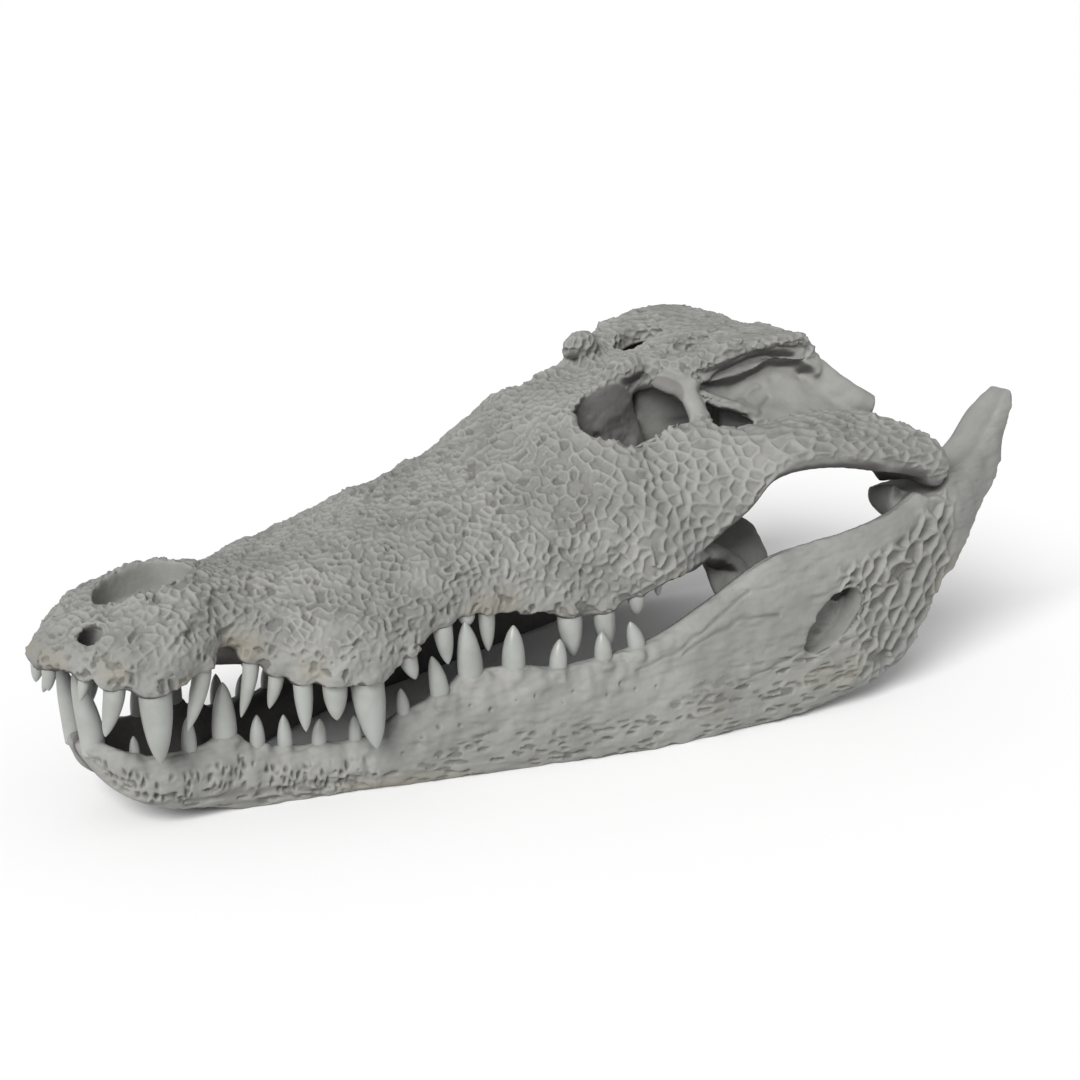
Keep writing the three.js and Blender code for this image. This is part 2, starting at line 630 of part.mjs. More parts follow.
// The floor, tipped into the jaw's own frame, where it wears the jaw flat.
function floorUnderJaw() {
  const geometry = new THREE.BoxGeometry(mm(3), mm(1), mm(0.2));
  geometry.translate(0, 0, mm(-0.1));
  geometry.rotateY(THREE.MathUtils.degToRad(-JAW_PITCH));
  geometry.translate(mm(JAW_PIVOT), 0, 0);
  return solid(geometry);
}

const restingJaw = (side) => lowerJaw(side).subtract(floorUnderJaw());

// ---- Assembly -----------------------------------------------------------------------------

const SIDES = [-1, 1];
const SNOUT_END = 0.68; // the station at which the snout is parted from the rest
// The finest step kept in the finished surfaces, in mm: beside the thin cuts and away from them.
const DETAIL = { cut: 0.5, free: 0.75 };

// The skull as it is in life: one fused bone.
function wholeSkull() {
  const plates = [
    loft(SNOUT_STATIONS.map(snoutRing)),
    loft(ROOF_STATIONS.map(roofRing)),
    ...SIDES.map((side) => loft(CHEEK_STATIONS.map((s) => cheekRing(s)), side)),
  ];
  const opened = carve(join(plates), [
    nostrilHollow(),
    ...SIDES.flatMap((side) => [
      frontToothHole(side),
      frontToothPit(side),
      socketHollow(side),
      tableHole(side),
      palateHollow(side),
    ]),
  ]);
  const struts = SIDES.flatMap((side) => [
    rearWing(side),
    earWall(side),
    jointStrut(side),
    eyeBar(side),
    browKnob(side),
    browPillar(side),
    palateWing(side),
    ...toothRow(UPPER_TEETH, upperEdge, -1, side),
  ]);
  const whole = join([opened, braincase(), palateBar(), brainStem(), neckKnob(), ...struts]);
  return whole.subtract(spineHole());
}

// The skull parted by thin cuts into snout, two cheeks and braincase.
function partedSkull() {
  const whole = wholeSkull();
  const half = CUT / 2 / SKULL_LENGTH;
  const snout = whole.intersect(block([-1, -1, -1], [SNOUT_END - half, 1, 1]));
  const rear = whole.intersect(block([SNOUT_END + half, -1, -1], [2, 1, 1]));
  const shells = SIDES.map((side) => loft(CHEEK_STATIONS.map((s) => cheekRing(s)), side));
  const cuts = SIDES.map((side) => loft(CHEEK_STATIONS.map((s) => cheekRing(s, 2 * half)), side));
  const [leftCheek, rightCheek] = shells.map((shell) => largest(rear.intersect(shell)));
  return { snout, left_cheek: leftCheek, right_cheek: rightCheek, braincase: largest(carve(rear, cuts)) };
}

// The biggest body of a solid: a thin cut can leave crumbs beside it.
function largest(piece) {
  return piece.decompose().reduce((most, body) => (body.volume() > most.volume() ? body : most));
}

const BONE = new THREE.MeshStandardMaterial({ color: 0xa9aaa4, roughness: 0.75, metalness: 0 });

function bonePiece(name, piece, detail) {
  const { vertProperties, triVerts, numProp, numVert } = piece.simplify(detail).getMesh();
  const positions = new Float32Array(numVert * 3);
  for (let i = 0; i < numVert; i++) {
    positions.set(vertProperties.subarray(i * numProp, i * numProp + 3), i * 3);
  }
  const geometry = new THREE.BufferGeometry();
  geometry.setAttribute('position', new THREE.BufferAttribute(positions, 3));
  geometry.setIndex(new THREE.BufferAttribute(triVerts, 1));
  const mesh = new THREE.Mesh(geometry, BONE.clone());
  mesh.name = name;
  return mesh;
}

const crocodileSkull = new THREE.Group();
const middle = (OVERALL.from + OVERALL.to) / 2;

const skull = new THREE.Group();
for (const [name, piece] of Object.entries(partedSkull())) {
  const mesh = bonePiece(name, piece, name === 'snout' ? DETAIL.free : DETAIL.cut);
  mesh.position.set(mm(-HINGE.s), 0, mm(-HINGE.z));
  skull.add(mesh);
}
skull.position.set(mm(HINGE_POSED.s - middle), 0, mm(HINGE_POSED.z));
skull.rotation.y = THREE.MathUtils.degToRad(SKULL_PITCH);

const jaw = new THREE.Group();
for (const [name, side] of [['jaw_left', -1], ['jaw_right', 1]]) {
  jaw.add(bonePiece(name, restingJaw(side), DETAIL.free));
}
for (const mesh of jaw.children) mesh.position.x = mm(-JAW_PIVOT);
jaw.position.x = mm(JAW_PIVOT - middle);
jaw.rotation.y = THREE.MathUtils.degToRad(JAW_PITCH);

crocodileSkull.add(skull, jaw);

export default crocodileSkull;
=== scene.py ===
# %% [markdown]
# # A crocodile's skull in dry bone
# The frame holds the skull as plain facets, cut into its regions. This lesson grows the real bone in
# the same place: a smooth form from cross sections, then the pits and ridges that cover a crocodile's
# face, then the teeth and the finishes.

import math

import bmesh
import bpy
import numpy as np
from mathutils import Matrix, Vector
from mathutils.kdtree import KDTree


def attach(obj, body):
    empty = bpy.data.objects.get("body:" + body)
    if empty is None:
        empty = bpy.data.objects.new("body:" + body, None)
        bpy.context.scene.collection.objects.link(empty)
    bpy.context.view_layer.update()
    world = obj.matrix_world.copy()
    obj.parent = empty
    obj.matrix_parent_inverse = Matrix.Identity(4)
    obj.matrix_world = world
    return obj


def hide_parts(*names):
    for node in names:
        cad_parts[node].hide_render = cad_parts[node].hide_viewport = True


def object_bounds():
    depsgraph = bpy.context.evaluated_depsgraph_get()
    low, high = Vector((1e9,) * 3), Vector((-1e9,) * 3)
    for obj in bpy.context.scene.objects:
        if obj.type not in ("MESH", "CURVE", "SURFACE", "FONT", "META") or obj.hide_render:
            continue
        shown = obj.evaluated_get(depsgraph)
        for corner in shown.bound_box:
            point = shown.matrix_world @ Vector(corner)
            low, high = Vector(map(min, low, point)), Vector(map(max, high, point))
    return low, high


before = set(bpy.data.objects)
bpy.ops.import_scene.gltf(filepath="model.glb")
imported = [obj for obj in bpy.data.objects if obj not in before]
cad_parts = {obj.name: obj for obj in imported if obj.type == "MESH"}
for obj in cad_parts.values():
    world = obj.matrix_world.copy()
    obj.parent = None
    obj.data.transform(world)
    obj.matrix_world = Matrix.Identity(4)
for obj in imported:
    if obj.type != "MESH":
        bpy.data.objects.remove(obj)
cad_low, cad_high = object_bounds()
scene = bpy.context.scene
print("the frame's box in metres:", list(cad_low), list(cad_high))

# %% [markdown]
# ## Two frames of reference
# A skull is measured from its palate and a lower jaw from its own base line, each in skull lengths:
# `s` back from the snout tip, `y` out from the midline and `z` up. Two matrices carry those numbers
# to the model, where the skull tips forward on the jaw joint and the jaw lies on the floor. There
# the bone reaches from `NOSE` to `HEEL`, the rear end of the jaw.

# %% Driving sizes
SKULL_LENGTH = 0.48
NOSE, HEEL = -0.0063, 1.2513
MIDDLE = (NOSE + HEEL) / 2
SKULL_PITCH = math.radians(-3.6)
JAW_PITCH = math.radians(-1.8)
HINGE = Vector((1.09, 0, 0.03))
HINGE_POSED = Vector((1.0824 - MIDDLE, 0, 0.2583))
JAW_PIVOT = Vector((0.2, 0, 0))
SEAM = 0.0004 / SKULL_LENGTH
SIDES = (-1, 1)
MM = 0.001
VOXEL = 0.00175

SCALE = Matrix.Scale(SKULL_LENGTH, 4)
SKULL = (
    SCALE
    @ Matrix.Translation(HINGE_POSED)
    @ Matrix.Rotation(SKULL_PITCH, 4, "Y")
    @ Matrix.Translation(-HINGE)
)
JAW = (
    SCALE
    @ Matrix.Translation(JAW_PIVOT - Vector((MIDDLE, 0, 0)))
    @ Matrix.Rotation(JAW_PITCH, 4, "Y")
    @ Matrix.Translation(-JAW_PIVOT)
)

# %% [markdown]
# ## The camera
# The camera stands to the front left of the snout and a little above it, with a long lens, so the
# skull keeps its true proportions.

# %% Camera
EYE = Vector((-0.6542, -0.8880, 0.4353))
VIEW = {"azimuth": -36.98, "elevation": 16.82, "roll": 0.34}
SENSOR_MM = 36
LENS_MM = 66.42
lens = bpy.data.cameras.new("camera")
lens.sensor_width = SENSOR_MM
lens.lens = LENS_MM
lens.clip_start = 0.05
lens.clip_end = 50
camera = bpy.data.objects.new("camera", lens)
turn = (
    Matrix.Rotation(math.radians(VIEW["azimuth"]), 4, "Z")
    @ Matrix.Rotation(math.radians(90 - VIEW["elevation"]), 4, "X")
    @ Matrix.Rotation(math.radians(VIEW["roll"]), 4, "Z")
)
camera.matrix_world = Matrix.Translation(EYE) @ turn
scene.collection.objects.link(camera)
scene.camera = camera

# %% [markdown]
# ## Curves and cross sections
# Bone has hardly a straight line in it. Each outline is a smooth curve through a few measured
# stations, and a solid is a row of closed cross sections bridged from one to the next.


# %% A smooth curve through stations
def profile(*pairs):
    """A smooth curve through (station, value) pairs, flat beyond its ends."""
    at, value = np.array(pairs, float).T
    slope = np.empty_like(value)
    slope[1:-1] = (value[2:] - value[:-2]) / (at[2:] - at[:-2])
    slope[0] = (value[1] - value[0]) / (at[1] - at[0])
    slope[-1] = (value[-1] - value[-2]) / (at[-1] - at[-2])

    def curve(s):
        s = np.clip(s, at[0], at[-1])
        i = np.clip(np.searchsorted(at, s), 1, len(at) - 1)
        width = at[i] - at[i - 1]
        t = (s - at[i - 1]) / width
        start = 2 * t**3 - 3 * t**2 + 1
        leave = (t**3 - 2 * t**2 + t) * width * slope[i - 1]
        arrive = (t**3 - t**2) * width * slope[i]
        return start * value[i - 1] + leave + (1 - start) * value[i] + arrive

    return curve


def rounded(ring, count, closed=True):
    """A ring of points, evenly respaced along a smooth curve through them."""
    ring = np.array(ring, float)
    n = len(ring)
    spans = n if closed else n - 1
    t = np.arange(count) * spans / (count if closed else count - 1)
    i = np.minimum(t.astype(int), spans - 1)
    f = (t - i)[:, None]
    if closed:
        p = [ring[(i + k) % n] for k in (-1, 0, 1, 2)]
    else:
        p = [ring[np.clip(i + k, 0, n - 1)] for k in (-1, 0, 1, 2)]
    return (
        p[1]
        + 0.5 * f * (p[2] - p[0])
        + f**2 * (p[0] - 2.5 * p[1] + 2 * p[2] - 0.5 * p[3])
        + f**3 * (1.5 * (p[1] - p[2]) + 0.5 * (p[3] - p[0]))
    )


# %% [markdown]
# A loft starts as edge loops, one for each section, which `bridge_loops` joins up. Its two end loops
# are filled, so that it is a closed solid and Boolean modifiers can join and cut it.


# %% Lofts, limbs, ovals and bores
def as_object(name, bm):
    mesh = bpy.data.meshes.new(name)
    bm.to_mesh(mesh)
    bm.free()
    made = bpy.data.objects.new(name, mesh)
    scene.collection.objects.link(made)
    return made


def loft(rings, place, side=1, around=0, along=0):
    """A closed solid through rings of (s, y, z) points, smoothed around and along where asked."""
    rings = np.array([rounded(r, around) if around else np.array(r, float) for r in rings])
    if along:
        count = (len(rings) - 1) * along + 1
        flat = rounded(rings.reshape(len(rings), -1), count, closed=False)
        rings = flat.reshape(count, -1, 3)
    bm = bmesh.new()
    loops = []
    for ring in rings:
        verts = [bm.verts.new(place @ Vector((s, y * side, z))) for s, y, z in ring]
        loops.append([bm.edges.new(pair) for pair in zip(verts, verts[1:] + verts[:1])])
    for near, far in zip(loops, loops[1:]):
        bmesh.ops.bridge_loops(bm, edges=near + far)
    for end in (loops[0], loops[-1]):
        bmesh.ops.contextual_create(bm, geom=end)
    bmesh.ops.triangulate(bm, faces=[f for f in bm.faces if len(f.verts) > 4])
    bmesh.ops.recalc_face_normals(bm, faces=bm.faces)
    return as_object("loft", bm)


def limb(stations, across, place, side=1, corners=20, along=6):
    """An oval section carried along (s, y, z, wide, thick) stations and closed at both ends."""
    count = (len(stations) - 1) * along + 1
    path = rounded(stations, count, closed=False)
    centres = [Vector(p[:3]) for p in path]
    rings = []
    for i, (centre, (wide, thick)) in enumerate(zip(centres, path[:, 3:])):
        before = centres[max(i - 1, 0)]
        after = centres[min(i + 1, count - 1)]
        run = (after - before).normalized()
        lift = run.cross(Vector(across)).normalized()
        reach = lift.cross(run)
        turns = [(k + 0.5) / corners * math.tau for k in range(corners)]
        ring = [centre + reach * wide * math.cos(t) + lift * thick * math.sin(t) for t in turns]
        rings.append([p[:] for p in ring])
    return loft(rings, place, side)


def oval(centre, half, place, roll=0, side=1):
    """A ball stretched to three half-widths and rolled about the long axis of the skull."""
    s, y, z = centre
    where = (
        place
        @ Matrix.Translation((s, y * side, z))
        @ Matrix.Rotation(math.radians(roll * side), 4, "X")
        @ Matrix.Diagonal((*half, 1))
    )
    bm = bmesh.new()
    bmesh.ops.create_uvsphere(bm, u_segments=32, v_segments=20, radius=1, matrix=where)
    return as_object("oval", bm)


def bore(centre, half, place, turned):
    """A straight hole of oval section. half is its two half-widths and its depth."""
    where = place @ Matrix.Translation(centre) @ turned @ Matrix.Diagonal((*half, 1))
    bm = bmesh.new()
    bmesh.ops.create_cone(
        bm, cap_ends=True, segments=48, radius1=1, radius2=1, depth=1, matrix=where
    )
    return as_object("bore", bm)


# %% Joining and cutting
def applied(piece):
    """Bakes a piece's modifiers into its mesh."""
    seen = piece.evaluated_get(bpy.context.evaluated_depsgraph_get())
    mesh = bpy.data.meshes.new_from_object(seen)
    piece.modifiers.clear()
    piece.data = mesh
    return piece


def combined(base, operation, others):
    """base joined with or cut by each of the others, which are used up."""
    for i, other in enumerate(others):
        step = base.modifiers.new(f"step_{i}", "BOOLEAN")
        step.operation = operation
        step.solver = "MANIFOLD"
        step.object = other
    applied(base)
    for other in others:
        bpy.data.objects.remove(other)
    return base


# %% Tooth rows
# Each row is a station, a crown length, a radius, and how far the tip leans back and out.
UPPER_TEETH = (
    (0.017, 0.023, 0.0075, -0.004, 0.002), (0.039, 0.021, 0.0065, -0.008, 0.002),
    (0.061, 0.046, 0.0115, -0.0185, 0.006), (0.099, 0.075, 0.017, -0.006, 0.008),
    (0.155, 0.062, 0.0105, -0.024, 0.002), (0.213, 0.058, 0.009, -0.019, 0.002),
    (0.233, 0.035, 0.0085, -0.012, 0.0), (0.254, 0.054, 0.0105, -0.003, 0.004),
    (0.285, 0.04, 0.0135, -0.003, 0.004), (0.322, 0.077, 0.0185, 0.0, 0.01),
    (0.371, 0.03, 0.0105, 0.007, 0.002), (0.42, 0.046, 0.011, 0.003, 0.002),
    (0.452, 0.014, 0.0095, 0.0, 0.0), (0.477, 0.046, 0.0095, 0.0, 0.0),
    (0.579, 0.05, 0.0145, 0.001, 0.004), (0.62, 0.048, 0.013, 0.0045, 0.002),
    (0.661, 0.026, 0.0105, 0.001, 0.0), (0.694, 0.016, 0.005, 0.0, 0.0),
)
LOWER_TEETH = (
    (0.054, 0.076, 0.013, -0.012, -0.004), (0.088, 0.02, 0.0055, 0.0, 0.0),
    (0.145, 0.038, 0.0085, 0.0, 0.002), (0.186, 0.06, 0.0135, 0.002, 0.0),
    (0.221, 0.034, 0.0085, 0.001, 0.0), (0.251, 0.036, 0.0085, 0.0, 0.0),
    (0.288, 0.028, 0.0085, 0.002, 0.0), (0.327, 0.028, 0.0075, 0.0, 0.0),
    (0.38, 0.028, 0.0075, -0.003, 0.0), (0.42, 0.046, 0.011, -0.009, 0.0),
    (0.456, 0.062, 0.0145, -0.008, 0.004), (0.504, 0.047, 0.0135, 0.001, 0.0),
    (0.555, 0.032, 0.0105, 0.003, 0.0), (0.609, 0.03, 0.0105, -0.002, 0.0),
    (0.65, 0.032, 0.0105, -0.009, 0.0),
)


# %% Where a tooth stands
def upper_root(s, radius):
    return snout_width(s) - max(upper_inset(s), radius * 1.05), snout_edge(s)


def lower_root(s, radius):
    return jaw_width(s) - max(lower_inset(s), radius * 1.1), jaw_top(s)


# %% [markdown]
# ## The snout
# Its sections are a flattened dome over a palate, pinched behind the nostrils where the big lower
# tooth stands in a notch, and waved along the edge that carries the teeth.

# %% Snout outlines
snout_width = profile(
    (0.006, 0.006), (0.012, 0.022), (0.024, 0.043), (0.045, 0.069), (0.075, 0.093), (0.105, 0.102),
    (0.145, 0.097), (0.17, 0.086), (0.188, 0.08), (0.215, 0.094), (0.26, 0.13), (0.32, 0.152),
    (0.38, 0.151), (0.45, 0.15), (0.52, 0.16), (0.6, 0.178), (0.66, 0.19), (0.7, 0.189), (0.74, 0.178),
)
snout_edge = profile(
    (0, 0.028), (0.02, 0.026), (0.04, 0.019), (0.06, 0.01), (0.089, -0.002), (0.12, -0.003),
    (0.15, 0.005), (0.175, 0.014), (0.19, 0.017), (0.204, 0.008), (0.222, -0.01), (0.25, -0.026),
    (0.285, -0.033), (0.325, -0.038), (0.35, -0.03), (0.385, -0.014), (0.42, 0.0), (0.45, 0.005),
    (0.48, 0.0), (0.515, -0.012), (0.56, -0.02), (0.608, -0.03), (0.64, -0.021), (0.68, -0.01),
)
snout_top = profile(
    (0, 0.04), (0.006, 0.044), (0.02, 0.053), (0.055, 0.07), (0.09, 0.085), (0.125, 0.096),
    (0.17, 0.1), (0.2, 0.089), (0.23, 0.081), (0.265, 0.077), (0.3, 0.081), (0.355, 0.09),
    (0.43, 0.106), (0.515, 0.122), (0.575, 0.139), (0.61, 0.156), (0.64, 0.173), (0.67, 0.183),
    (0.7, 0.17), (0.74, 0.13),
)
snout_palate = profile(
    (0.05, 0.02), (0.08, 0.004), (0.12, -0.003), (0.17, -0.01), (0.22, -0.018), (0.28, -0.022),
    (0.32, 0.02),
)
upper_inset = profile((0.01, 0.02), (0.03, 0.014), (0.06, 0.012))
FLANK = 0.3


def snout_flank(s):
    """The height at which the snout is widest."""
    return snout_edge(s) + FLANK * (snout_top(s) - snout_edge(s))


# %% Snout
def snout_ring(s):
    width, edge, top = snout_width(s), snout_edge(s), snout_top(s)
    flank = snout_flank(s)
    turns = np.linspace(0, math.pi, 13)
    arc = [(s, width * math.cos(t), flank + (top - flank) * math.sin(t)) for t in turns]
    rim = min(0.024, width * 0.4)
    palate = min(edge + min(0.018, (top - edge) * 0.25), snout_palate(s))
    lip = min(0.006, (flank - edge) * 0.5)
    half = [
        (s, width - 0.1 * rim, edge + lip),
        (s, width - 0.5 * rim, edge),
        (s, width - rim, edge + 0.004),
        (s, width * 0.5, palate),
    ]
    return arc + [(s, -y, z) for s, y, z in half] + [(s, 0, palate + 0.004)] + half[::-1]


def snout():
    tip = [0.006, 0.0075, 0.0095, 0.012, 0.0155, 0.019]
    stations = tip + list(np.arange(0.022, 0.74, 0.006)) + [0.74]
    return loft([snout_ring(s) for s in stations], SKULL, around=120)


# %% [markdown]
# ## Cheeks, eye sockets and skull table
# The cheek is a leaning plate that runs from the snout to the jaw joint, and the skull table is a
# flat lid over the braincase. Between them the eye sockets are bored through at a slant.

# %% Cheek and table outlines
cheek_top_y = profile(
    (0.58, 0.09), (0.65, 0.108), (0.69, 0.122), (0.74, 0.13), (0.8, 0.138), (0.88, 0.15),
    (0.95, 0.162), (1.03, 0.18), (1.07, 0.2), (1.105, 0.225),
)
cheek_top_z = profile(
    (0.58, 0.09), (0.62, 0.122), (0.65, 0.142), (0.69, 0.143), (0.72, 0.146), (0.76, 0.157),
    (0.8, 0.156), (0.85, 0.143), (0.9, 0.138), (0.96, 0.138), (1.03, 0.13), (1.07, 0.112),
    (1.105, 0.086),
)
cheek_foot_y = profile(
    (0.58, 0.165), (0.68, 0.192), (0.74, 0.2), (0.81, 0.221), (0.9, 0.239), (0.98, 0.247),
    (1.105, 0.25),
)
cheek_foot_z = profile(
    (0.58, -0.02), (0.64, -0.016), (0.68, -0.01), (0.74, 0.018), (0.785, 0.05), (0.81, 0.07),
    (0.84, 0.104), (0.88, 0.113), (0.93, 0.106), (0.98, 0.09), (1.04, 0.07), (1.08, 0.052),
    (1.105, 0.042),
)
cheek_bulge = profile((0.58, 0.02), (0.68, 0.035), (0.76, 0.022), (0.84, 0.012), (1.105, 0.012))
CHEEK_THICKNESS = 0.022
roof_width = profile(
    (0.6, 0.05), (0.64, 0.06), (0.68, 0.057), (0.74, 0.056), (0.775, 0.05), (0.795, 0.062),
    (0.812, 0.086), (0.83, 0.102), (0.86, 0.112), (0.9, 0.119), (0.95, 0.125), (0.98, 0.126),
    (1.0, 0.112),
)
roof_top = profile(
    (0.6, 0.142), (0.64, 0.172), (0.68, 0.19), (0.71, 0.198), (0.74, 0.208), (0.765, 0.22),
    (0.815, 0.218), (0.85, 0.226), (0.9, 0.232), (0.95, 0.228), (0.985, 0.223), (1.0, 0.216),
)
roof_dip = profile(
    (0.6, 0), (0.7, 0.006), (0.765, 0.022), (0.81, 0.015), (0.87, 0.008), (0.94, 0.005), (1.0, 0),
)
roof_lip = profile((0.8, 0.023), (0.88, 0.021), (0.94, 0.016), (0.975, 0.024), (1.0, 0.03))
ROOF_THICKNESS = 0.024


# %% Cheeks and table
def cheek_ring(s):
    top = Vector((cheek_top_y(s), cheek_top_z(s)))
    down = Vector((cheek_foot_y(s), cheek_foot_z(s))) - top
    out = Vector((-down.y, down.x)).normalized()
    bulge = cheek_bulge(s)
    thick = CHEEK_THICKNESS
    shape = [
        (1, -thick * 0.2), (0.9, bulge * 0.6), (0.6, bulge), (0.3, bulge * 0.7), (0.03, 0),
        (0.05, -thick), (0.5, -thick), (0.95, -thick),
    ]
    return [(s, *(top + down * share + out * lift)) for share, lift in shape]


def cheek(side):
    stations = np.linspace(0.58, 1.105, 90)
    return loft([cheek_ring(s) for s in stations], SKULL, side, around=48)


def roof_ring(s):
    width, top = roof_width(s), roof_top(s)
    dip = top - roof_dip(s)
    under = dip - ROOF_THICKNESS
    lip = roof_lip(s)
    half = [
        (s, width * 0.99, dip - 0.6 * lip), (s, width, (top + dip) / 2 - 0.004),
        (s, width * 0.9, top), (s, width * 0.5, (top + 2 * dip) / 3),
    ]
    low = [(s, width * 0.5, under), (s, width * 0.92, dip - lip)]
    mirrored = [(s, -y, z) for s, y, z in half[::-1]]
    below = [(s, -y, z) for s, y, z in low[::-1]]
    return half + [(s, 0, dip)] + mirrored + below + [(s, 0, under - 0.004)] + low


def roof():
    return loft([roof_ring(s) for s in np.linspace(0.6, 1.0, 80)], SKULL, around=60)


# %% [markdown]
# ## Struts, braincase and palate
# Behind and under the table the skull is scaffolding: limbs and sheets of bone that are easiest to
# make one by one and join.


# %% Struts of the rear
def braincase():
    rings = []
    for s, half, low, high in (
        (0.79, 0.03, 0.1, 0.2), (0.84, 0.04, 0.07, 0.2), (0.9, 0.048, 0.055, 0.2),
        (0.96, 0.056, 0.05, 0.2), (1.0, 0.06, 0.06, 0.196),
    ):
        rings.append([
            (s, half, low + 0.04), (s, half, high), (s, -half, high), (s, -half, low + 0.04),
            (s, -half * 0.6, low), (s, half * 0.6, low),
        ])
    return loft(rings, SKULL, around=36, along=6)


def rear_wing(side):
    stations = [
        (0.965, 0.03, 0.15, 0.045, 0.022), (0.99, 0.08, 0.15, 0.045, 0.02),
        (1.015, 0.125, 0.14, 0.036, 0.018), (1.04, 0.15, 0.132, 0.022, 0.014),
        (1.06, 0.165, 0.126, 0.013, 0.01),
    ]
    return limb(stations, (0, 0, 1), SKULL, side)


def ear_wall(side):
    rings = []
    for s, y_high, z_high, y_low, z_low in (
        (0.828, 0.09, 0.2, 0.116, 0.18), (0.862, 0.095, 0.2, 0.136, 0.16),
        (0.9, 0.1, 0.206, 0.148, 0.14), (0.94, 0.104, 0.204, 0.16, 0.134),
        (0.98, 0.116, 0.206, 0.17, 0.128), (1.015, 0.13, 0.182, 0.182, 0.114),
        (1.06, 0.155, 0.135, 0.205, 0.095),
    ):
        y_mid = (y_high + y_low) / 2 - 0.012
        z_mid = (z_high + z_low) / 2 - 0.01
        rings.append([
            (s, y_low, z_low - 0.012), (s, y_low, z_low), (s, y_mid, z_mid), (s, y_high, z_high),
            (s, y_high - 0.016, z_high - 0.006), (s, y_mid - 0.014, z_mid - 0.014),
        ])
    return loft(rings, SKULL, side, around=36, along=8)


def joint_strut(side):
    stations = [
        (0.9, 0.05, 0.12, 0.035, 0.03), (0.96, 0.09, 0.11, 0.042, 0.028),
        (1.02, 0.145, 0.088, 0.048, 0.024), (1.065, 0.185, 0.066, 0.048, 0.022),
        (1.09, 0.2, 0.048, 0.046, 0.018),
    ]
    return limb(stations, (0.35, 1, 0), SKULL, side)


def joint_roller(side):
    stations = [
        (1.082, 0.154, 0.036, 0.018, 0.016), (1.09, 0.178, 0.043, 0.02, 0.016),
        (1.093, 0.2, 0.046, 0.019, 0.015), (1.092, 0.222, 0.046, 0.02, 0.017),
        (1.088, 0.246, 0.05, 0.016, 0.018),
    ]
    return limb(stations, (1, 0, 0), SKULL, side)


def eye_bar(side):
    stations = [
        (0.8, 0.068, 0.196, 0.028, 0.013), (0.806, 0.086, 0.188, 0.026, 0.012),
        (0.811, 0.1, 0.182, 0.022, 0.011),
        (0.811, 0.116, 0.163, 0.014, 0.01), (0.808, 0.134, 0.14, 0.018, 0.013),
    ]
    return limb(stations, (1, 0, 0), SKULL, side)


def brow_pillar(side):
    stations = [
        (0.71, 0.046, 0.19, 0.05, 0.01), (0.735, 0.038, 0.14, 0.048, 0.012),
        (0.755, 0.036, 0.08, 0.048, 0.012), (0.76, 0.03, 0.014, 0.05, 0.012),
    ]
    return limb(stations, (1, 0, 0), SKULL, side)


def brow_knob(side):
    """The knob over the eye, which is worn low on the left."""
    if side < 0:
        return oval((0.76, 0.044, 0.206), (0.034, 0.016, 0.015), SKULL, 15, side)
    return oval((0.762, 0.042, 0.219), (0.026, 0.013, 0.02), SKULL, 15, side)


# %% Palate
def palate_bar():
    rings = []
    for s, half, low, high in (
        (0.6, 0.06, -0.005, 0.03), (0.66, 0.036, -0.002, 0.024), (0.74, 0.03, 0.0, 0.022),
        (0.8, 0.034, -0.004, 0.02), (0.85, 0.06, -0.012, 0.012), (0.9, 0.062, -0.02, 0.012),
        (0.93, 0.05, -0.016, 0.03),
    ):
        middle = (low + high) / 2
        rings.append([
            (s, half, middle), (s, half * 0.7, high), (s, -half * 0.7, high), (s, -half, middle),
            (s, -half * 0.7, low), (s, half * 0.7, low),
        ])
    return loft(rings, SKULL, around=36, along=6)


def palate_wing(side):
    stations = [
        (0.86, 0.03, -0.004, 0.05, 0.014), (0.86, 0.07, -0.004, 0.05, 0.014),
        (0.856, 0.11, -0.01, 0.05, 0.014), (0.848, 0.14, -0.03, 0.05, 0.013),
        (0.842, 0.158, -0.06, 0.045, 0.013), (0.838, 0.166, -0.085, 0.03, 0.01),
    ]
    return limb(stations, (1, 0, 0), SKULL, side)


def palate_strut(side):
    stations = [
        (0.7, 0.182, 0.004, 0.022, 0.014), (0.76, 0.172, 0.006, 0.018, 0.014),
        (0.81, 0.152, -0.014, 0.018, 0.014), (0.85, 0.146, -0.046, 0.02, 0.012),
    ]
    return limb(stations, (0, 1, 0), SKULL, side)


def brain_stem():
    stations = [
        (0.945, 0, 0.1, 0.05, 0.035), (0.94, 0, 0.05, 0.046, 0.026), (0.915, 0, 0.0, 0.05, 0.024),
    ]
    return limb(stations, (0, 1, 0), SKULL)


# %% [markdown]
# The hollows are cut from the plates first. The struts join afterwards, because they pass through
# the hollows.


# %% The skull's openings
SOCKET = {"s": 0.728, "a": 0.09, "z": 0.17, "long": 0.071, "wide": 0.043, "slant": 37}


def skull_hollows():
    upright = Matrix.Identity(4)
    cutters = [bore((0.137, 0, 0.1), (0.056, 0.041, 0.096), SKULL, upright)]
    for side in SIDES:
        slant = Matrix.Rotation(math.radians(-SOCKET["slant"] * side), 4, "X")
        socket = (SOCKET["s"], SOCKET["a"] * side, SOCKET["z"])
        lean = Matrix.Rotation(math.radians(-30 * side), 4, "X")
        cutters += [
            bore((0.055, 0.036 * side, 0.05), (0.0125, 0.0125, 0.12), SKULL, lean),
            oval((0.036, 0.024, 0.006), (0.014, 0.013, 0.024), SKULL, 0, side),
            bore(socket, (SOCKET["long"], SOCKET["wide"], 0.36), SKULL, slant),
            bore((0.858, 0.044 * side, 0.2), (0.034, 0.023, 0.09), SKULL, upright),
            oval((0.66, 0.088, 0.0), (0.125, 0.042, 0.078), SKULL, 0, side),
        ]
    return cutters


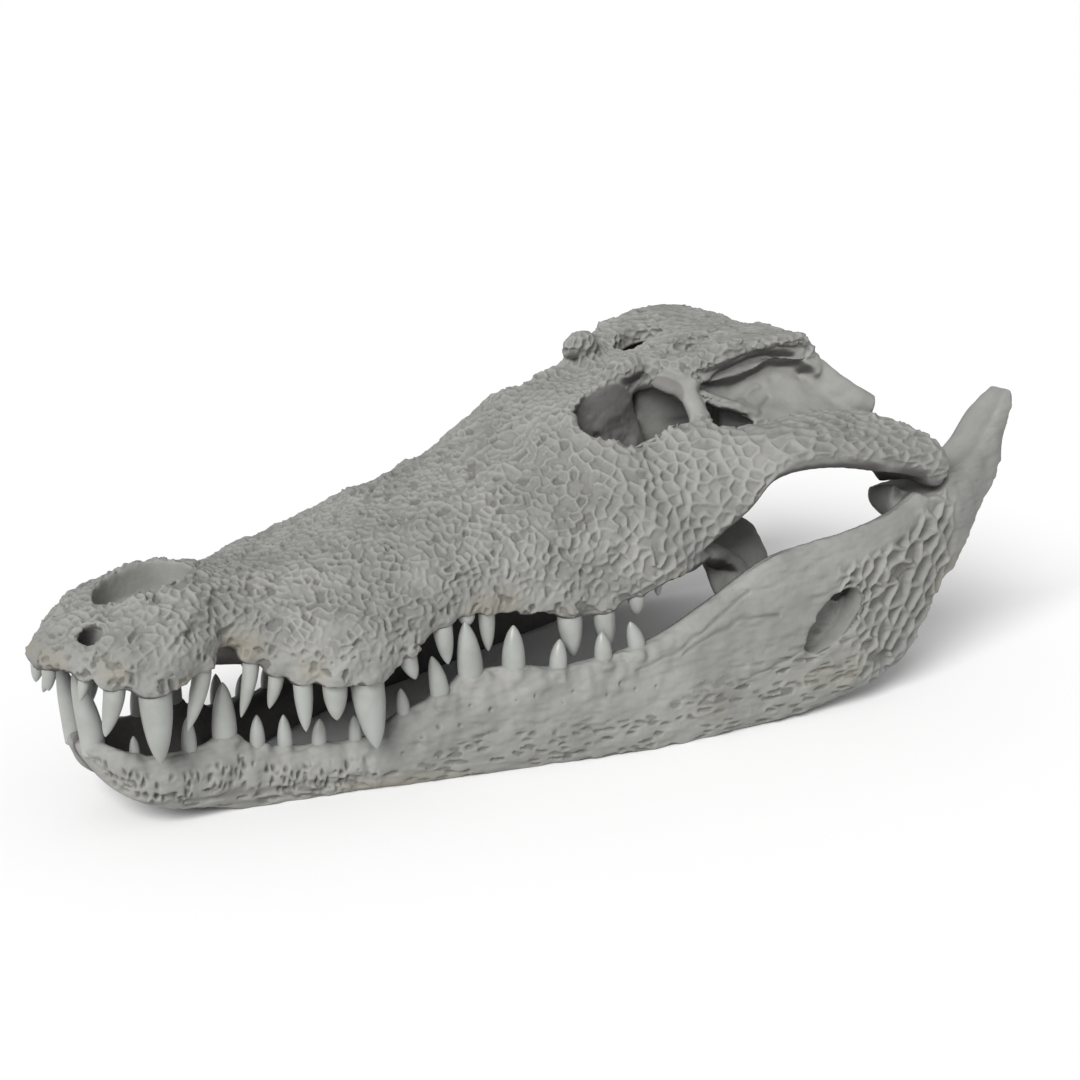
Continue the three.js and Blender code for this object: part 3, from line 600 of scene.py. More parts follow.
def upper_collars():
    """The bony rims that hold the upper teeth."""
    rims = []
    for side in SIDES:
        for s, _, radius, *_ in UPPER_TEETH:
            y, z = upper_root(s, radius)
            wide = radius * 1.25 + 0.003
            rims.append(oval((s, y, z + 0.008), (wide, wide * 0.95, 0.013), SKULL, 0, side))
    return rims


def neck_ball():
    return oval((1.012, 0, 0.108), (0.02, 0.022, 0.019), SKULL)


def nerve_hole():
    """The hole by which the spinal cord leaves the braincase."""
    return oval((1.0, 0, 0.145), (0.05, 0.018, 0.015), SKULL)


def skull_form():
    bone = combined(snout(), "UNION", [roof(), cheek(-1), cheek(1)] + upper_collars())
    combined(bone, "DIFFERENCE", skull_hollows())
    struts = [braincase(), palate_bar(), brain_stem(), neck_ball()]
    for side in SIDES:
        struts += [
            rear_wing(side), ear_wall(side), joint_strut(side), joint_roller(side), eye_bar(side),
            brow_pillar(side), brow_knob(side), palate_wing(side), palate_strut(side),
        ]
    combined(bone, "UNION", struts)
    return combined(bone, "DIFFERENCE", [nerve_hole()])


# %% [markdown]
# ## The lower jaw
# Each half is one curved bar, deep at the rear where the biting muscles pulled, with a window in its
# outer wall and a saucer for the skull's roller.

# %% Lower jaw outlines
jaw_width = profile(
    (0.042, 0.014), (0.05, 0.031), (0.065, 0.051), (0.09, 0.068), (0.12, 0.075), (0.19, 0.079),
    (0.25, 0.09), (0.33, 0.112), (0.42, 0.143), (0.503, 0.169), (0.56, 0.184), (0.62, 0.2),
    (0.7, 0.218), (0.8, 0.236), (0.88, 0.248), (0.95, 0.255), (1.03, 0.257), (1.1, 0.25),
    (1.17, 0.238), (1.22, 0.226), (1.262, 0.214),
)
jaw_top = profile(
    (0.042, 0.1), (0.05, 0.106), (0.07, 0.098), (0.09, 0.086), (0.12, 0.083), (0.15, 0.08),
    (0.186, 0.086), (0.22, 0.068), (0.26, 0.059), (0.33, 0.054), (0.35, 0.058), (0.37, 0.074),
    (0.416, 0.092), (0.45, 0.112), (0.503, 0.114), (0.555, 0.104), (0.635, 0.11), (0.68, 0.12),
    (0.745, 0.15), (0.82, 0.187), (0.88, 0.197), (0.94, 0.201), (1.0, 0.21), (1.06, 0.23),
    (1.1, 0.243), (1.14, 0.245), (1.185, 0.261), (1.225, 0.299), (1.262, 0.325),
)
jaw_foot = profile(
    (0.042, 0.088), (0.05, 0.074), (0.06, 0.056), (0.075, 0.042), (0.1, 0.028), (0.148, 0.015),
    (0.19, 0.002), (0.215, -0.003), (0.28, -0.006), (0.35, -0.006), (0.42, -0.008), (0.5, -0.012),
    (0.56, -0.016), (0.62, -0.018), (0.7, -0.019), (0.78, -0.018), (0.84, -0.017), (0.88, -0.015),
    (0.93, -0.009), (0.97, -0.004), (1.0, 0.004), (1.04, 0.022), (1.075, 0.051), (1.1, 0.083),
    (1.14, 0.121), (1.17, 0.152), (1.2, 0.184), (1.23, 0.229), (1.25, 0.272), (1.262, 0.298),
)
jaw_thickness = profile(
    (0.042, 0.03), (0.1, 0.034), (0.3, 0.036), (0.5, 0.042), (0.7, 0.044), (0.9, 0.046),
    (1.03, 0.055), (1.08, 0.075), (1.12, 0.078), (1.17, 0.065), (1.22, 0.055), (1.262, 0.036),
)
CHIN = {"from": 0.185, "to": 0.225, "floor": 0.042, "rim": (0.062, 0.085)}
lower_inset = profile((0.042, 0.013), (0.056, 0.016), (0.1, 0.018), (0.2, 0.013))


# %% Lower jaw
def ease(x, low=0.0, high=1.0):
    """0 below low, 1 above high and smooth between."""
    t = np.clip((x - low) / (high - low), 0, 1)
    return t * t * (3 - 2 * t)


def jaw_ring(s):
    outer, top, foot = jaw_width(s), jaw_top(s), jaw_foot(s)
    tall = top - foot
    thick = min(jaw_thickness(s), outer * 0.9)
    inner = outer - thick
    apart = ease(s, CHIN["from"], CHIN["to"])
    trough = min(max(CHIN["floor"], foot + 0.4 * tall), foot + 0.6 * tall)
    trough += (top - 0.06 * tall - trough) * (1 - ease(s, *CHIN["rim"]))

    def between(closed, parted):
        return closed + (parted - closed) * apart

    def height(share):
        return foot + share * tall

    return [
        (s, outer + 0.004, height(0.55)),
        (s, outer, height(0.85)),
        (s, outer - min(0.01, thick * 0.25), top),
        (s, outer - min(0.026, thick * 0.6), height(0.98)),
        (s, between(outer * 0.4, inner), between(trough, height(0.75 + 0.22 * ease(s, 1.1, 1.15)))),
        (s, between(SEAM / 2, inner), between(trough - 0.05 * tall, height(0.45))),
        (s, between(SEAM / 2, inner + thick * 0.1), foot + min(0.014, tall * 0.15)),
        (s, outer - thick * 0.4, foot),
        (s, outer - thick * 0.08, foot + min(0.008, tall * 0.1)),
        (s, outer + 0.002, height(0.28)),
    ]


def jaw_bar(side):
    stations = [0.042, 0.044, 0.047, 0.051, 0.056] + list(np.arange(0.062, 1.262, 0.007)) + [1.262]
    return loft([jaw_ring(s) for s in stations], JAW, side, around=56)


def jaw_hollows(side):
    window = Matrix.Rotation(math.radians(-38), 4, "Y") @ Matrix.Rotation(math.radians(90), 4, "X")
    saucer = [
        (1.088, 0.1, 0.25, 0.036, 0.038), (1.088, 0.16, 0.25, 0.038, 0.038),
        (1.086, 0.2, 0.252, 0.038, 0.032), (1.084, 0.29, 0.256, 0.04, 0.034),
    ]
    scoop = [
        (1.12, 0.214, 0.258, 0.014, 0.009), (1.16, 0.21, 0.267, 0.021, 0.012),
        (1.2, 0.205, 0.291, 0.023, 0.013), (1.24, 0.199, 0.324, 0.02, 0.012),
        (1.3, 0.193, 0.366, 0.012, 0.008),
    ]
    return [
        bore((0.91, 0.255 * side, 0.1), (0.05, 0.026, 0.068), JAW, window),
        oval((0.94, 0.208, 0.185), (0.1, 0.024, 0.073), JAW, 8, side),
        limb(saucer, (1, 0, 0), JAW, side),
        limb(scoop, (0, 1, 0), JAW, side),
    ]


def jaw_form(side):
    shelf = [
        (1.09, 0.21, 0.21, 0.045, 0.045), (1.09, 0.18, 0.208, 0.036, 0.035),
        (1.092, 0.158, 0.2, 0.028, 0.026), (1.092, 0.146, 0.192, 0.018, 0.018),
    ]
    collars = []
    for s, _, radius, *_ in LOWER_TEETH:
        y, z = lower_root(s, radius)
        wide = min(radius * 1.2 + 0.003, s - 0.042)
        collars.append(oval((s, y, z - 0.008), (wide, min(wide, 0.016), 0.014), JAW, 0, side))
    bone = combined(jaw_bar(side), "UNION", collars + [limb(shelf, (1, 0, 0), JAW, side)])
    return combined(bone, "DIFFERENCE", jaw_hollows(side))


# %% [markdown]
# ## From solids to bone
# A voxel remesh melts the joined solids into one even skin. Smoothing it rounds the places where
# limbs meet plates, and one level of subdivision gives the fine, regular mesh that carving needs.


# %% One even skin
def grown(name, form, rounds=6):
    form.name = name
    melt = form.modifiers.new("melt", "REMESH")
    melt.mode = "VOXEL"
    melt.voxel_size = VOXEL
    soften = form.modifiers.new("soften", "SMOOTH")
    soften.factor = 0.5
    soften.iterations = rounds
    refine = form.modifiers.new("refine", "SUBSURF")
    refine.levels = refine.render_levels = 1
    applied(form)
    print(name, "has", len(form.data.polygons), "faces")
    return form


skull = grown("skull", skull_form())
jaws = {side: grown("jaw", jaw_form(side)) for side in SIDES}

# %% [markdown]
# ## Carving with numbers
# From here the bone is sculpted: each vertex moves a little along its normal, by an amount worked
# out from where it lies. Three tools do it all: soft random lumps, a net of cells for the pits, and
# small dents for the holes.


# %% Reading and moving a skin
class Skin:
    """A mesh's points, with their places in the bone's own frame."""

    def __init__(self, piece, place):
        self.piece = piece
        self.place = np.array(place)
        self.own_place = np.array(place.inverted())
        count = len(piece.data.vertices)
        self.co = np.empty(count * 3, np.float32)
        piece.data.vertices.foreach_get("co", self.co)
        self.co = self.co.reshape(-1, 3).astype(float)
        self.pit_shade = np.zeros(count)
        self.stain = np.zeros(count)
        self.painted_shadow = np.zeros(count)
        self.refresh()

    def refresh(self):
        mesh = self.piece.data
        mesh.vertices.foreach_set("co", self.co.astype(np.float32).ravel())
        mesh.update()
        normals = np.empty(len(self.co) * 3, np.float32)
        mesh.vertex_normals.foreach_get("vector", normals)
        self.normal = normals.reshape(-1, 3).astype(float)
        own = self.co @ self.own_place[:3, :3].T + self.own_place[:3, 3]
        self.s, self.y, self.z = own.T
        self.side = np.where(self.y < 0, -1.0, 1.0)
        self.a = np.abs(self.y)
        self.out = self.normal[:, 1] * self.side
        self.up = self.normal[:, 2]

    def push(self, amount):
        """Moves every point along its normal by amount, in millimetres."""
        self.co += self.normal * (amount * MM)[:, None]

    def at(self, s, y, z):
        """A point of the bone's own frame, in the model."""
        return self.place[:3, :3] @ np.array((s, y, z)) + self.place[:3, 3]


# %% Random lumps
def lumps(co, size, seed):
    """Smooth random values from -1 to 1 over points in metres, size millimetres apart."""
    rng = np.random.default_rng(seed)
    table = rng.uniform(-1, 1, (32, 32, 32))
    p = co / (size * MM) + 1000
    cell = np.floor(p).astype(int)
    f = p - cell
    f = f * f * (3 - 2 * f)
    total = np.zeros(len(co))
    for dx in (0, 1):
        for dy in (0, 1):
            for dz in (0, 1):
                i, j, k = ((cell + (dx, dy, dz)) % 32).T
                w = np.abs(1 - dx - f[:, 0]) * np.abs(1 - dy - f[:, 1]) * np.abs(1 - dz - f[:, 2])
                total += w * table[i, j, k]
    return total


# %% A net of cells
MOST_TRIES = 90000


def crowded(grid, cell, span, p, r):
    """Whether the grid holds a point nearer to p than r, within span cells of its own."""
    for i in range(cell[0] - span, cell[0] + span + 1):
        for j in range(cell[1] - span, cell[1] + span + 1):
            for k in range(cell[2] - span, cell[2] + span + 1):
                for q in grid.get((i, j, k), ()):
                    if (q[0] - p[0]) ** 2 + (q[1] - p[1]) ** 2 + (q[2] - p[2]) ** 2 < r * r:
                        return True
    return False


def scattered(co, spacing, allowed, seed):
    """Points picked from co, none nearer to another than its spacing in millimetres."""
    rng = np.random.default_rng(seed)
    chosen = np.flatnonzero(allowed)
    rng.shuffle(chosen)
    chosen = chosen[:MOST_TRIES]
    grid = {}
    block = 4.0 * MM
    kept = []
    places = co[chosen]
    reach = spacing[chosen] * MM
    cells = np.floor(places / block).astype(int).tolist()
    for n, (p, r, cell) in enumerate(zip(places.tolist(), reach.tolist(), cells)):
        if not crowded(grid, cell, int(r / block) + 1, p, r):
            grid.setdefault(tuple(cell), []).append(p)
            kept.append(chosen[n])
    return np.array(kept)


def cell_net(co, spacing, allowed, seed, missing=0.0):
    """How far each allowed point is from the walls of its cell in millimetres, with rounded corners,
    and a random number that its whole cell shares. missing is the share of walls left out."""
    seeds = scattered(co, spacing, allowed, seed)
    tree = KDTree(len(seeds))
    for i, p in enumerate(co[seeds].tolist()):
        tree.insert(p, i)
    tree.balance()
    where = np.flatnonzero(allowed)
    found = [tree.find_n(p, 4) for p in co[where].tolist()]
    ids = np.array([[hit[1] for hit in hits] for hits in found])
    spots = co[seeds][ids]
    here = co[where]

    def draw(a, b):
        low, high = np.minimum(a, b), np.maximum(a, b)
        return np.modf(np.abs(np.sin(low * 12.9898 + high * 78.233) * 43758.5453))[0]

    closeness = np.zeros(len(where))
    for other in (1, 2, 3):
        gap = spots[:, other] - spots[:, 0]
        length = np.linalg.norm(gap, axis=1) + 1e-9
        middle = (spots[:, other] + spots[:, 0]) / 2
        distance = ((middle - here) * gap).sum(1) / length / MM
        shut = draw(ids[:, 0], ids[:, other]) >= np.broadcast_to(missing, len(co))[where]
        closeness += shut * np.maximum(distance, 0.02) ** -3.0
    wall = np.full(len(co), 9.0)
    luck = np.zeros(len(co))
    wall[where] = np.minimum(np.maximum(closeness, 1e-3) ** (-1 / 3), 9.0)
    luck[where] = draw(ids[:, 0], ids[:, 0] + 7)
    print(len(seeds), "cells")
    return wall, luck


# %% Dents
def dents(skin, centres, radii, depths, pit_shading=0.8):
    """Small holes with painted shade, pressed in at the nearest point to each centre; all sizes in
    millimetres.
    """
    tree = KDTree(len(skin.co))
    for i, p in enumerate(skin.co.tolist()):
        tree.insert(p, i)
    tree.balance()
    sink = np.zeros(len(skin.co))
    for centre, radius, depth in zip(centres, radii, depths):
        spot = tree.find(centre)[0]
        for _, i, distance in tree.find_range(spot, radius * MM * 1.3):
            share = max(0.0, 1 - (distance / (radius * MM * 1.3)) ** 2)
            sink[i] = max(sink[i], depth * share)
            skin.pit_shade[i] = max(skin.pit_shade[i], pit_shading * share)
    skin.push(-sink)
    skin.refresh()


# %% Strokes
def stroke(k, line, width):
    """1 along a wavering line of (s, z) points on the outer side and 0 beyond its width in mm."""
    path = rounded(line, (len(line) - 1) * 6 + 1, closed=False)
    near = np.full(len(k.s), 1e9)
    s, z = k.s + 0.003 * lumps(k.co, 9, 90), k.z + 0.003 * lumps(k.co, 8, 91)
    for (s0, z0), (s1, z1) in zip(path[:-1], path[1:]):
        run = (s1 - s0) ** 2 + (z1 - z0) ** 2
        t = np.clip(((s - s0) * (s1 - s0) + (z - z0) * (z1 - z0)) / run, 0, 1)
        near = np.minimum(near, np.hypot(s - s0 - t * (s1 - s0), z - z0 - t * (z1 - z0)))
    near *= 1 + 0.4 * lumps(k.co, 6, 92)
    return np.exp(-((near * SKULL_LENGTH / MM / width) ** 2)) * ease(k.out, 0.15, 0.4)


def groove(k, line, width, depth, pit_shading=0.7):
    """A shallow valley along a line, with painted shade in it; width and depth in millimetres."""
    share = stroke(k, line, width)
    k.pit_shade = np.maximum(k.pit_shade, pit_shading * share)
    return -depth * share


def swell(k, s, a, radius, height):
    """A soft knob centred at station s and at a from the midline; height in millimetres."""
    return height * np.exp(-((k.s - s) ** 2 + (k.a - a) ** 2) / radius**2)


# %% [markdown]
# ## The skull's surface
# The texture of a crocodile's face changes from place to place: worm-like on the snout, a fine net
# of pits on the table and an open honeycomb on the cheek. Masks say which region a point is in.


# %% Where the skull is textured
def skull_masks(k):
    """How far each point belongs to the snout, to the cheek and to the table, from 0 to 1."""
    width, edge, top = snout_width(k.s), snout_edge(k.s), snout_top(k.s)
    flank = snout_flank(k.s)
    rise = np.maximum(k.z - flank, 0) / np.maximum(top - flank, 1e-3)
    radius = np.sqrt((k.a / width) ** 2 + rise**2)
    on_snout = ease(radius, 0.86, 0.94) * (1 - ease(k.s, 0.7, 0.72))
    on_snout *= ease(k.out + k.up * 0.8, -0.1, 0.25)
    top_y, top_z = cheek_top_y(k.s), cheek_top_z(k.s)
    down_y, down_z = cheek_foot_y(k.s) - top_y, cheek_foot_z(k.s) - top_z
    length = np.hypot(down_y, down_z)
    out_y, out_z = -down_z / length, down_y / length
    lift = (k.a - top_y) * out_y + (k.z - top_z) * out_z
    along = ((k.a - top_y) * down_y + (k.z - top_z) * down_z) / length**2
    facing = ease(k.out * out_y + k.up * out_z, 0.1, 0.45)
    rear = ease(k.s, 0.82, 0.85) * (1 - ease(k.s, 0.9, 0.94))
    span = ease(along, -0.14 + 0.12 * rear, -0.02 + 0.06 * rear) * (1 - ease(along, 1.0, 1.12))
    on_cheek = ease(lift, -0.014, -0.006) * facing * span * ease(k.s, 0.58, 0.6)
    on_roof = (
        ease(k.s, 0.6, 0.62)
        * ease(k.up, -0.35, 0.0)
        * ease(k.z - roof_top(k.s), -0.036 - 0.02 * (k.s < 0.79), -0.026)
        * (1 - ease(k.a - roof_width(k.s), 0.004, 0.014))
    )
    return on_snout, on_cheek, on_roof


def socket_radius(k):
    """1 at the rim of the bored eye socket, less inside it."""
    slant = math.radians(SOCKET["slant"])
    across = (k.a - SOCKET["a"]) * math.cos(slant) - (k.z - SOCKET["z"]) * math.sin(slant)
    return np.hypot((k.s - SOCKET["s"]) / SOCKET["long"], across / SOCKET["wide"])


# %% [markdown]
# The broad relief comes first: swellings in front of the eyes, knobbly rims round the socket and the
# table, and slow random waves. It is added up and pushed out in one go.

# %% Broad relief of the skull
# Each is a station, a distance from the midline, a radius and a height in millimetres.
SWELLINGS = (
    (0.655, 0.07, 0.018, 3.6), (0.61, 0.066, 0.02, 4.2), (0.565, 0.06, 0.018, 3.0),
    (0.53, 0.085, 0.02, 2.6), (0.485, 0.06, 0.018, 2.8), (0.44, 0.075, 0.02, 2.0),
    (0.37, 0.06, 0.025, 1.8), (0.3, 0.085, 0.03, 1.8), (0.625, 0.02, 0.016, 2.0),
    (0.58, 0.018, 0.014, 1.4), (0.25, 0.04, 0.02, 1.2), (0.33, 0.02, 0.018, 1.0),
    (0.703, 0.142, 0.014, 1.5), (0.693, 0.157, 0.014, 1.6), (0.682, 0.172, 0.014, 1.4),
)
DIPS = ((0.59, 0.038, 0.02, 1.8), (0.52, 0.03, 0.025, 1.6))


def skull_relief(k, skin, on_roof):
    high = ease(k.up, -0.1, 0.4) * ease(k.z, 0.05, 0.07)
    form = np.zeros(len(k.s))
    for swelling in SWELLINGS:
        form += swell(k, *swelling) * high
    for dip in DIPS:
        form -= swell(k, *dip) * high
    rim = np.exp(-(((socket_radius(k) - 1.07) / 0.1) ** 2)) * skin
    edge = np.exp(-(((k.a - roof_width(k.s)) / 0.012) ** 2)) * on_roof * ease(k.s, 0.8, 0.84)
    knobs = lumps(k.co, 7, 11)
    form += rim * (0.9 + 1.5 * knobs) + edge * (1.2 + 2.2 * knobs) + 0.6 * skin
    front = skin * (1 - ease(k.s, 0.16, 0.26))
    form += front * (0.9 * lumps(k.co, 5, 17) + 0.7 * lumps(k.co, 9, 18))
    form += skin * (1.5 * lumps(k.co, 24, 3) + 0.8 * lumps(k.co, 10, 4))
    inside = (1 - skin) * ease(k.s, 0.64, 0.67) * (1 - ease(k.s, 0.76, 0.8))
    inside *= 1 - ease(k.z, 0.13, 0.19)
    waves = 2.2 * lumps(k.co, 14, 12) + 1.0 * lumps(k.co, 6, 13) + 0.4 * lumps(k.co, 3, 14)
    return form + inside * waves


# %% Folds of the ear wall
# Under the table run a long ridge, the groove of the ear flap and a thin flange, as (s, z) lines.
EAR_RIDGE = (
    (0.8, 0.194), (0.84, 0.19), (0.88, 0.188), (0.91, 0.193), (0.935, 0.201), (0.965, 0.198),
    (0.985, 0.188), (0.995, 0.174),
)
EAR_GROOVE = (
    (0.83, 0.176), (0.87, 0.172), (0.9, 0.176), (0.93, 0.185), (0.96, 0.183), (0.977, 0.174),
)
EAR_FLANGE = ((0.86, 0.158), (0.88, 0.158), (0.9, 0.163), (0.915, 0.168))


def ear_folds(k, skin):
    wall = ease(k.s, 0.8, 0.82) * (1 - ease(k.s, 1.03, 1.06)) * (1 - skin)
    wall *= 1 - ease(k.a, 0.2, 0.22)
    under = [(s + 0.006, z - 0.012) for s, z in EAR_FLANGE]
    folds = 3.2 * stroke(k, EAR_RIDGE, 3.2) + groove(k, EAR_GROOVE, 4.4, 4.2, 0.35)
    folds += 1.4 * stroke(k, EAR_FLANGE, 2.0) + groove(k, under, 1.6, 0.9)
    grain = 0.5 * lumps(k.co * (0.35, 1, 1), 4.5, 15) + 0.8 * lumps(k.co, 13, 16)
    return wall * (folds + grain)


# %% [markdown]
# The pits are bowls between the walls of a net. Its cells are widest on the cheek and stretched on
# the arch. On the snout many walls are left out, which joins the cells into worm-like channels.

# %% Pits of the skull
pit_spacing = profile(
    (0, 3.5), (0.1, 3.7), (0.3, 3.6), (0.5, 4.0), (0.62, 4.5), (0.8, 4.6), (1.1, 4.2),
)


def skull_pits(k, skin, plain, honey, on_roof):
    """Digs the pits, which fade where plain is 1 and widen where honey is 1."""
    spacing = pit_spacing(k.s) + 1.5 * honey * (1 - ease(k.s, 0.86, 0.95))
    spacing -= 0.6 * on_roof * ease(k.s, 0.7, 0.8)
    warped = k.co.copy()
    warped[:, 0] -= 0.5 * SKULL_LENGTH * np.maximum(k.s - 0.85, 0)
    for i in range(3):
        warped[:, i] += MM * (1.3 * lumps(k.co, 8, 40 + i) + 0.5 * lumps(k.co, 3.5, 50 + i))
    missing = 0.4 - 0.28 * np.maximum(honey, on_roof)
    wall, luck = cell_net(warped, spacing, skin > 0.02, 7, missing)
    bowl = ease(wall, 0.0, 0.33 * spacing) * (0.85 + 0.15 * ease(wall, 0, 0.5 * spacing))
    knob = np.exp(-(((k.s - 0.762) / 0.035) ** 2) - ((k.a - 0.042) / 0.02) ** 2)
    knob *= ease(k.z, 0.205, 0.225)
    lip = ease(k.s, 0.78, 0.82) * ease(k.a / roof_width(k.s), 0.8, 0.95) * on_roof
    brow = ease(k.s, 0.72, 0.75) * (1 - ease(k.s, 0.8, 0.83)) * on_roof * ease(k.a, 0.03, 0.045)
    depth = skin * (0.34 * spacing + 0.2) * (1 + 0.45 * lumps(k.co, 9, 6)) * (1 - 0.75 * plain)
    depth *= (1 - 0.3 * knob) * (1 + 0.5 * lip) * (1 - 0.5 * brow)
    loose = skin * (1 - honey)
    hole = plain * skin * (luck > 0.7) * ease(wall, 0.5, 1.5)
    speck = loose * (1 - plain) * (luck > 0.86) * ease(wall, 0.5, 1.4)
    worm = loose * (0.45 * lumps(k.co, 2.4, 8) + 0.5 * lumps(k.co, 5, 9))
    k.push(-depth * bowl - 1.2 * hole - 0.8 * speck + worm + 0.12 * lumps(k.co, 3.0, 5))
    # Shade is painted into the bowls of the pits, the holes and the specks.
    patchy = 0.55 + 0.2 * lumps(k.co, 9, 6)
    k.pit_shade = np.maximum(k.pit_shade, skin * bowl * patchy * (1 - 0.7 * plain))
    k.pit_shade = np.maximum(k.pit_shade, np.maximum(hole, 0.9 * speck))


# %% Carving the skull
def carve_skull(k):
    on_snout, on_cheek, on_roof = skull_masks(k)
    bored = ease(k.s, 0.64, 0.66) * (1 - ease(socket_radius(k), 1.0, 1.05))
    skin = np.maximum(np.maximum(on_snout, on_cheek), on_roof) * (1 - bored)
    k.push(skull_relief(k, skin, on_roof) + ear_folds(k, skin))
    k.refresh()

    gap = k.z - snout_edge(k.s)
    plain = np.where(k.s < 0.72, 1 - ease(gap, 0.018, 0.055), 0.0) * (1 - ease(k.s, 0.55, 0.7))
    mended = np.exp(-(((k.s - 0.198) / 0.02) ** 2) - ((k.z - 0.018) / 0.02) ** 2)
    mended *= (k.side < 0) * (k.out > 0)
    skull_pits(k, skin, np.maximum(plain, mended), on_cheek * ease(k.s, 0.6, 0.69), on_roof)

    # Shade is painted onto the undersides, the low rear round the jaw joints and the inside of the eye
    # sockets.
    under = 0.9 * (1 - ease(k.up, -0.5, -0.1)) * (1 - ease(k.s, 0.98, 1.02))
    joint = 0.75 * ease(k.s, 1.0, 1.04) * (1 - ease(k.z, 0.08, 0.1))
    socket = 0.45 * (1 - ease(socket_radius(k), 0.98, 1.04)) * ease(k.s, 0.63, 0.66)
    k.painted_shadow = (1 - skin) * np.maximum.reduce([under, joint, socket])
    near_teeth = skin * np.where(k.s < 0.72, 1 - ease(gap, 0.01, 0.05), 0.0)
    k.stain = 0.45 * near_teeth * ease(lumps(k.co, 16, 21), 0.0, 0.6)
    k.stain = np.maximum(k.stain, 0.8 * mended)
    k.refresh()


# %% [markdown]
# ## The lower jaw's surface
# The jaw is smooth with a fine grain. Its rear corner is an open honeycomb, its lower edge is streaked
# with short pits, and nerve holes crowd the chin.

# %% Relief of the lower jaw
# Each groove is its line of (s, z) points, its width and its depth in millimetres.
JAW_GROOVES = (
    (((0.7, 0.1), (0.745, 0.118), (0.79, 0.128), (0.83, 0.122)), 1.3, 1.0),
    (((0.64, 0.09), (0.7, 0.107), (0.75, 0.135), (0.79, 0.16)), 1.2, 0.9),
    (((0.79, 0.055), (0.83, 0.062), (0.86, 0.072), (0.872, 0.07)), 1.2, 1.0),
    (((0.955, 0.128), (1.0, 0.132), (1.04, 0.15)), 1.2, 1.2),
    (((0.09, 0.036), (0.16, 0.026), (0.25, 0.018), (0.34, 0.012)), 2.2, 0.9),
)


def jaw_relief(k, outer, honey, below_top, rise):
    form = outer * (1.2 * lumps(k.co, 26, 31) + 1.0 * lumps(k.co, 10, 32)) + 0.9 * honey
    margin = outer * (1 - ease(below_top, 0.03, 0.06)) * (1 - ease(k.s, 0.68, 0.72))
    form += 1.3 * margin * lumps(k.co * (1, 1, 0.6), 5, 39)
    belly = outer * ease(k.s, 0.7, 0.8) * (1 - honey) * (1 - ease(rise, 0.2, 0.5))
    form += 1.2 * belly * lumps(k.co, 12, 33)
    for line, width, depth in JAW_GROOVES:
        form += groove(k, line, width, depth)
    return form


# %% Pits of the lower jaw
def jaw_honeycomb(k, honey):
    """The depth of the big pits, which lean along the slope of the jaw's rear."""
    lean = math.radians(50)
    warped = k.co.copy()
    run = warped[:, 0] * math.cos(lean) + warped[:, 2] * math.sin(lean)
    warped[:, 0] -= 0.3 * run * math.cos(lean)
    warped[:, 2] -= 0.3 * run * math.sin(lean)
    for i in range(3):
        warped[:, i] += MM * (1.4 * lumps(k.co, 9, 60 + i) + 0.4 * lumps(k.co, 4, 70 + i))
    spacing = 5.6 + 2.8 * ease(k.s, 0.95, 1.03)
    wall, _ = cell_net(warped, spacing, honey > 0.02, 17, 0.08)
    bowl = ease(wall, 0.0, 0.3 * spacing) * (0.85 + 0.15 * ease(wall, 0, 3))
    # Shade is painted into the bowls of the honeycomb.
    k.pit_shade = np.maximum(k.pit_shade, 0.75 * honey * bowl)
    return honey * (0.52 * spacing + 1.2 * lumps(k.co, 9, 34)) * bowl


def jaw_streaks(k, rough):
    """The depth of the short pits that run along the lower edge."""
    streak = k.co * (0.3, 1, 1)
    for i in (0, 2):
        streak[:, i] += MM * 0.5 * lumps(k.co, 6, 80 + i)
    wall, luck = cell_net(streak, np.full(len(k.s), 2.6), rough > 0.02, 18, 0.3)
    dash = rough * (luck > 0.6) * ease(wall, 0.2, 1.0)
    # Shade is painted into the short pits.
    k.pit_shade = np.maximum(k.pit_shade, 0.8 * dash)
    return 1.5 * dash * luck


def chin_holes(k, front):
    """The depth of the upright nerve holes under the front teeth."""
    upright = k.co * (1.15, 1.15, 0.5)
    wall, luck = cell_net(upright, np.full(len(k.s), 3.0), front > 0.02, 19)
    hole = front * (luck > 0.5) * ease(wall, 0.25, 1.1)
    # Shade is painted into the nerve holes.
    k.pit_shade = np.maximum(k.pit_shade, hole)
    return 1.7 * hole


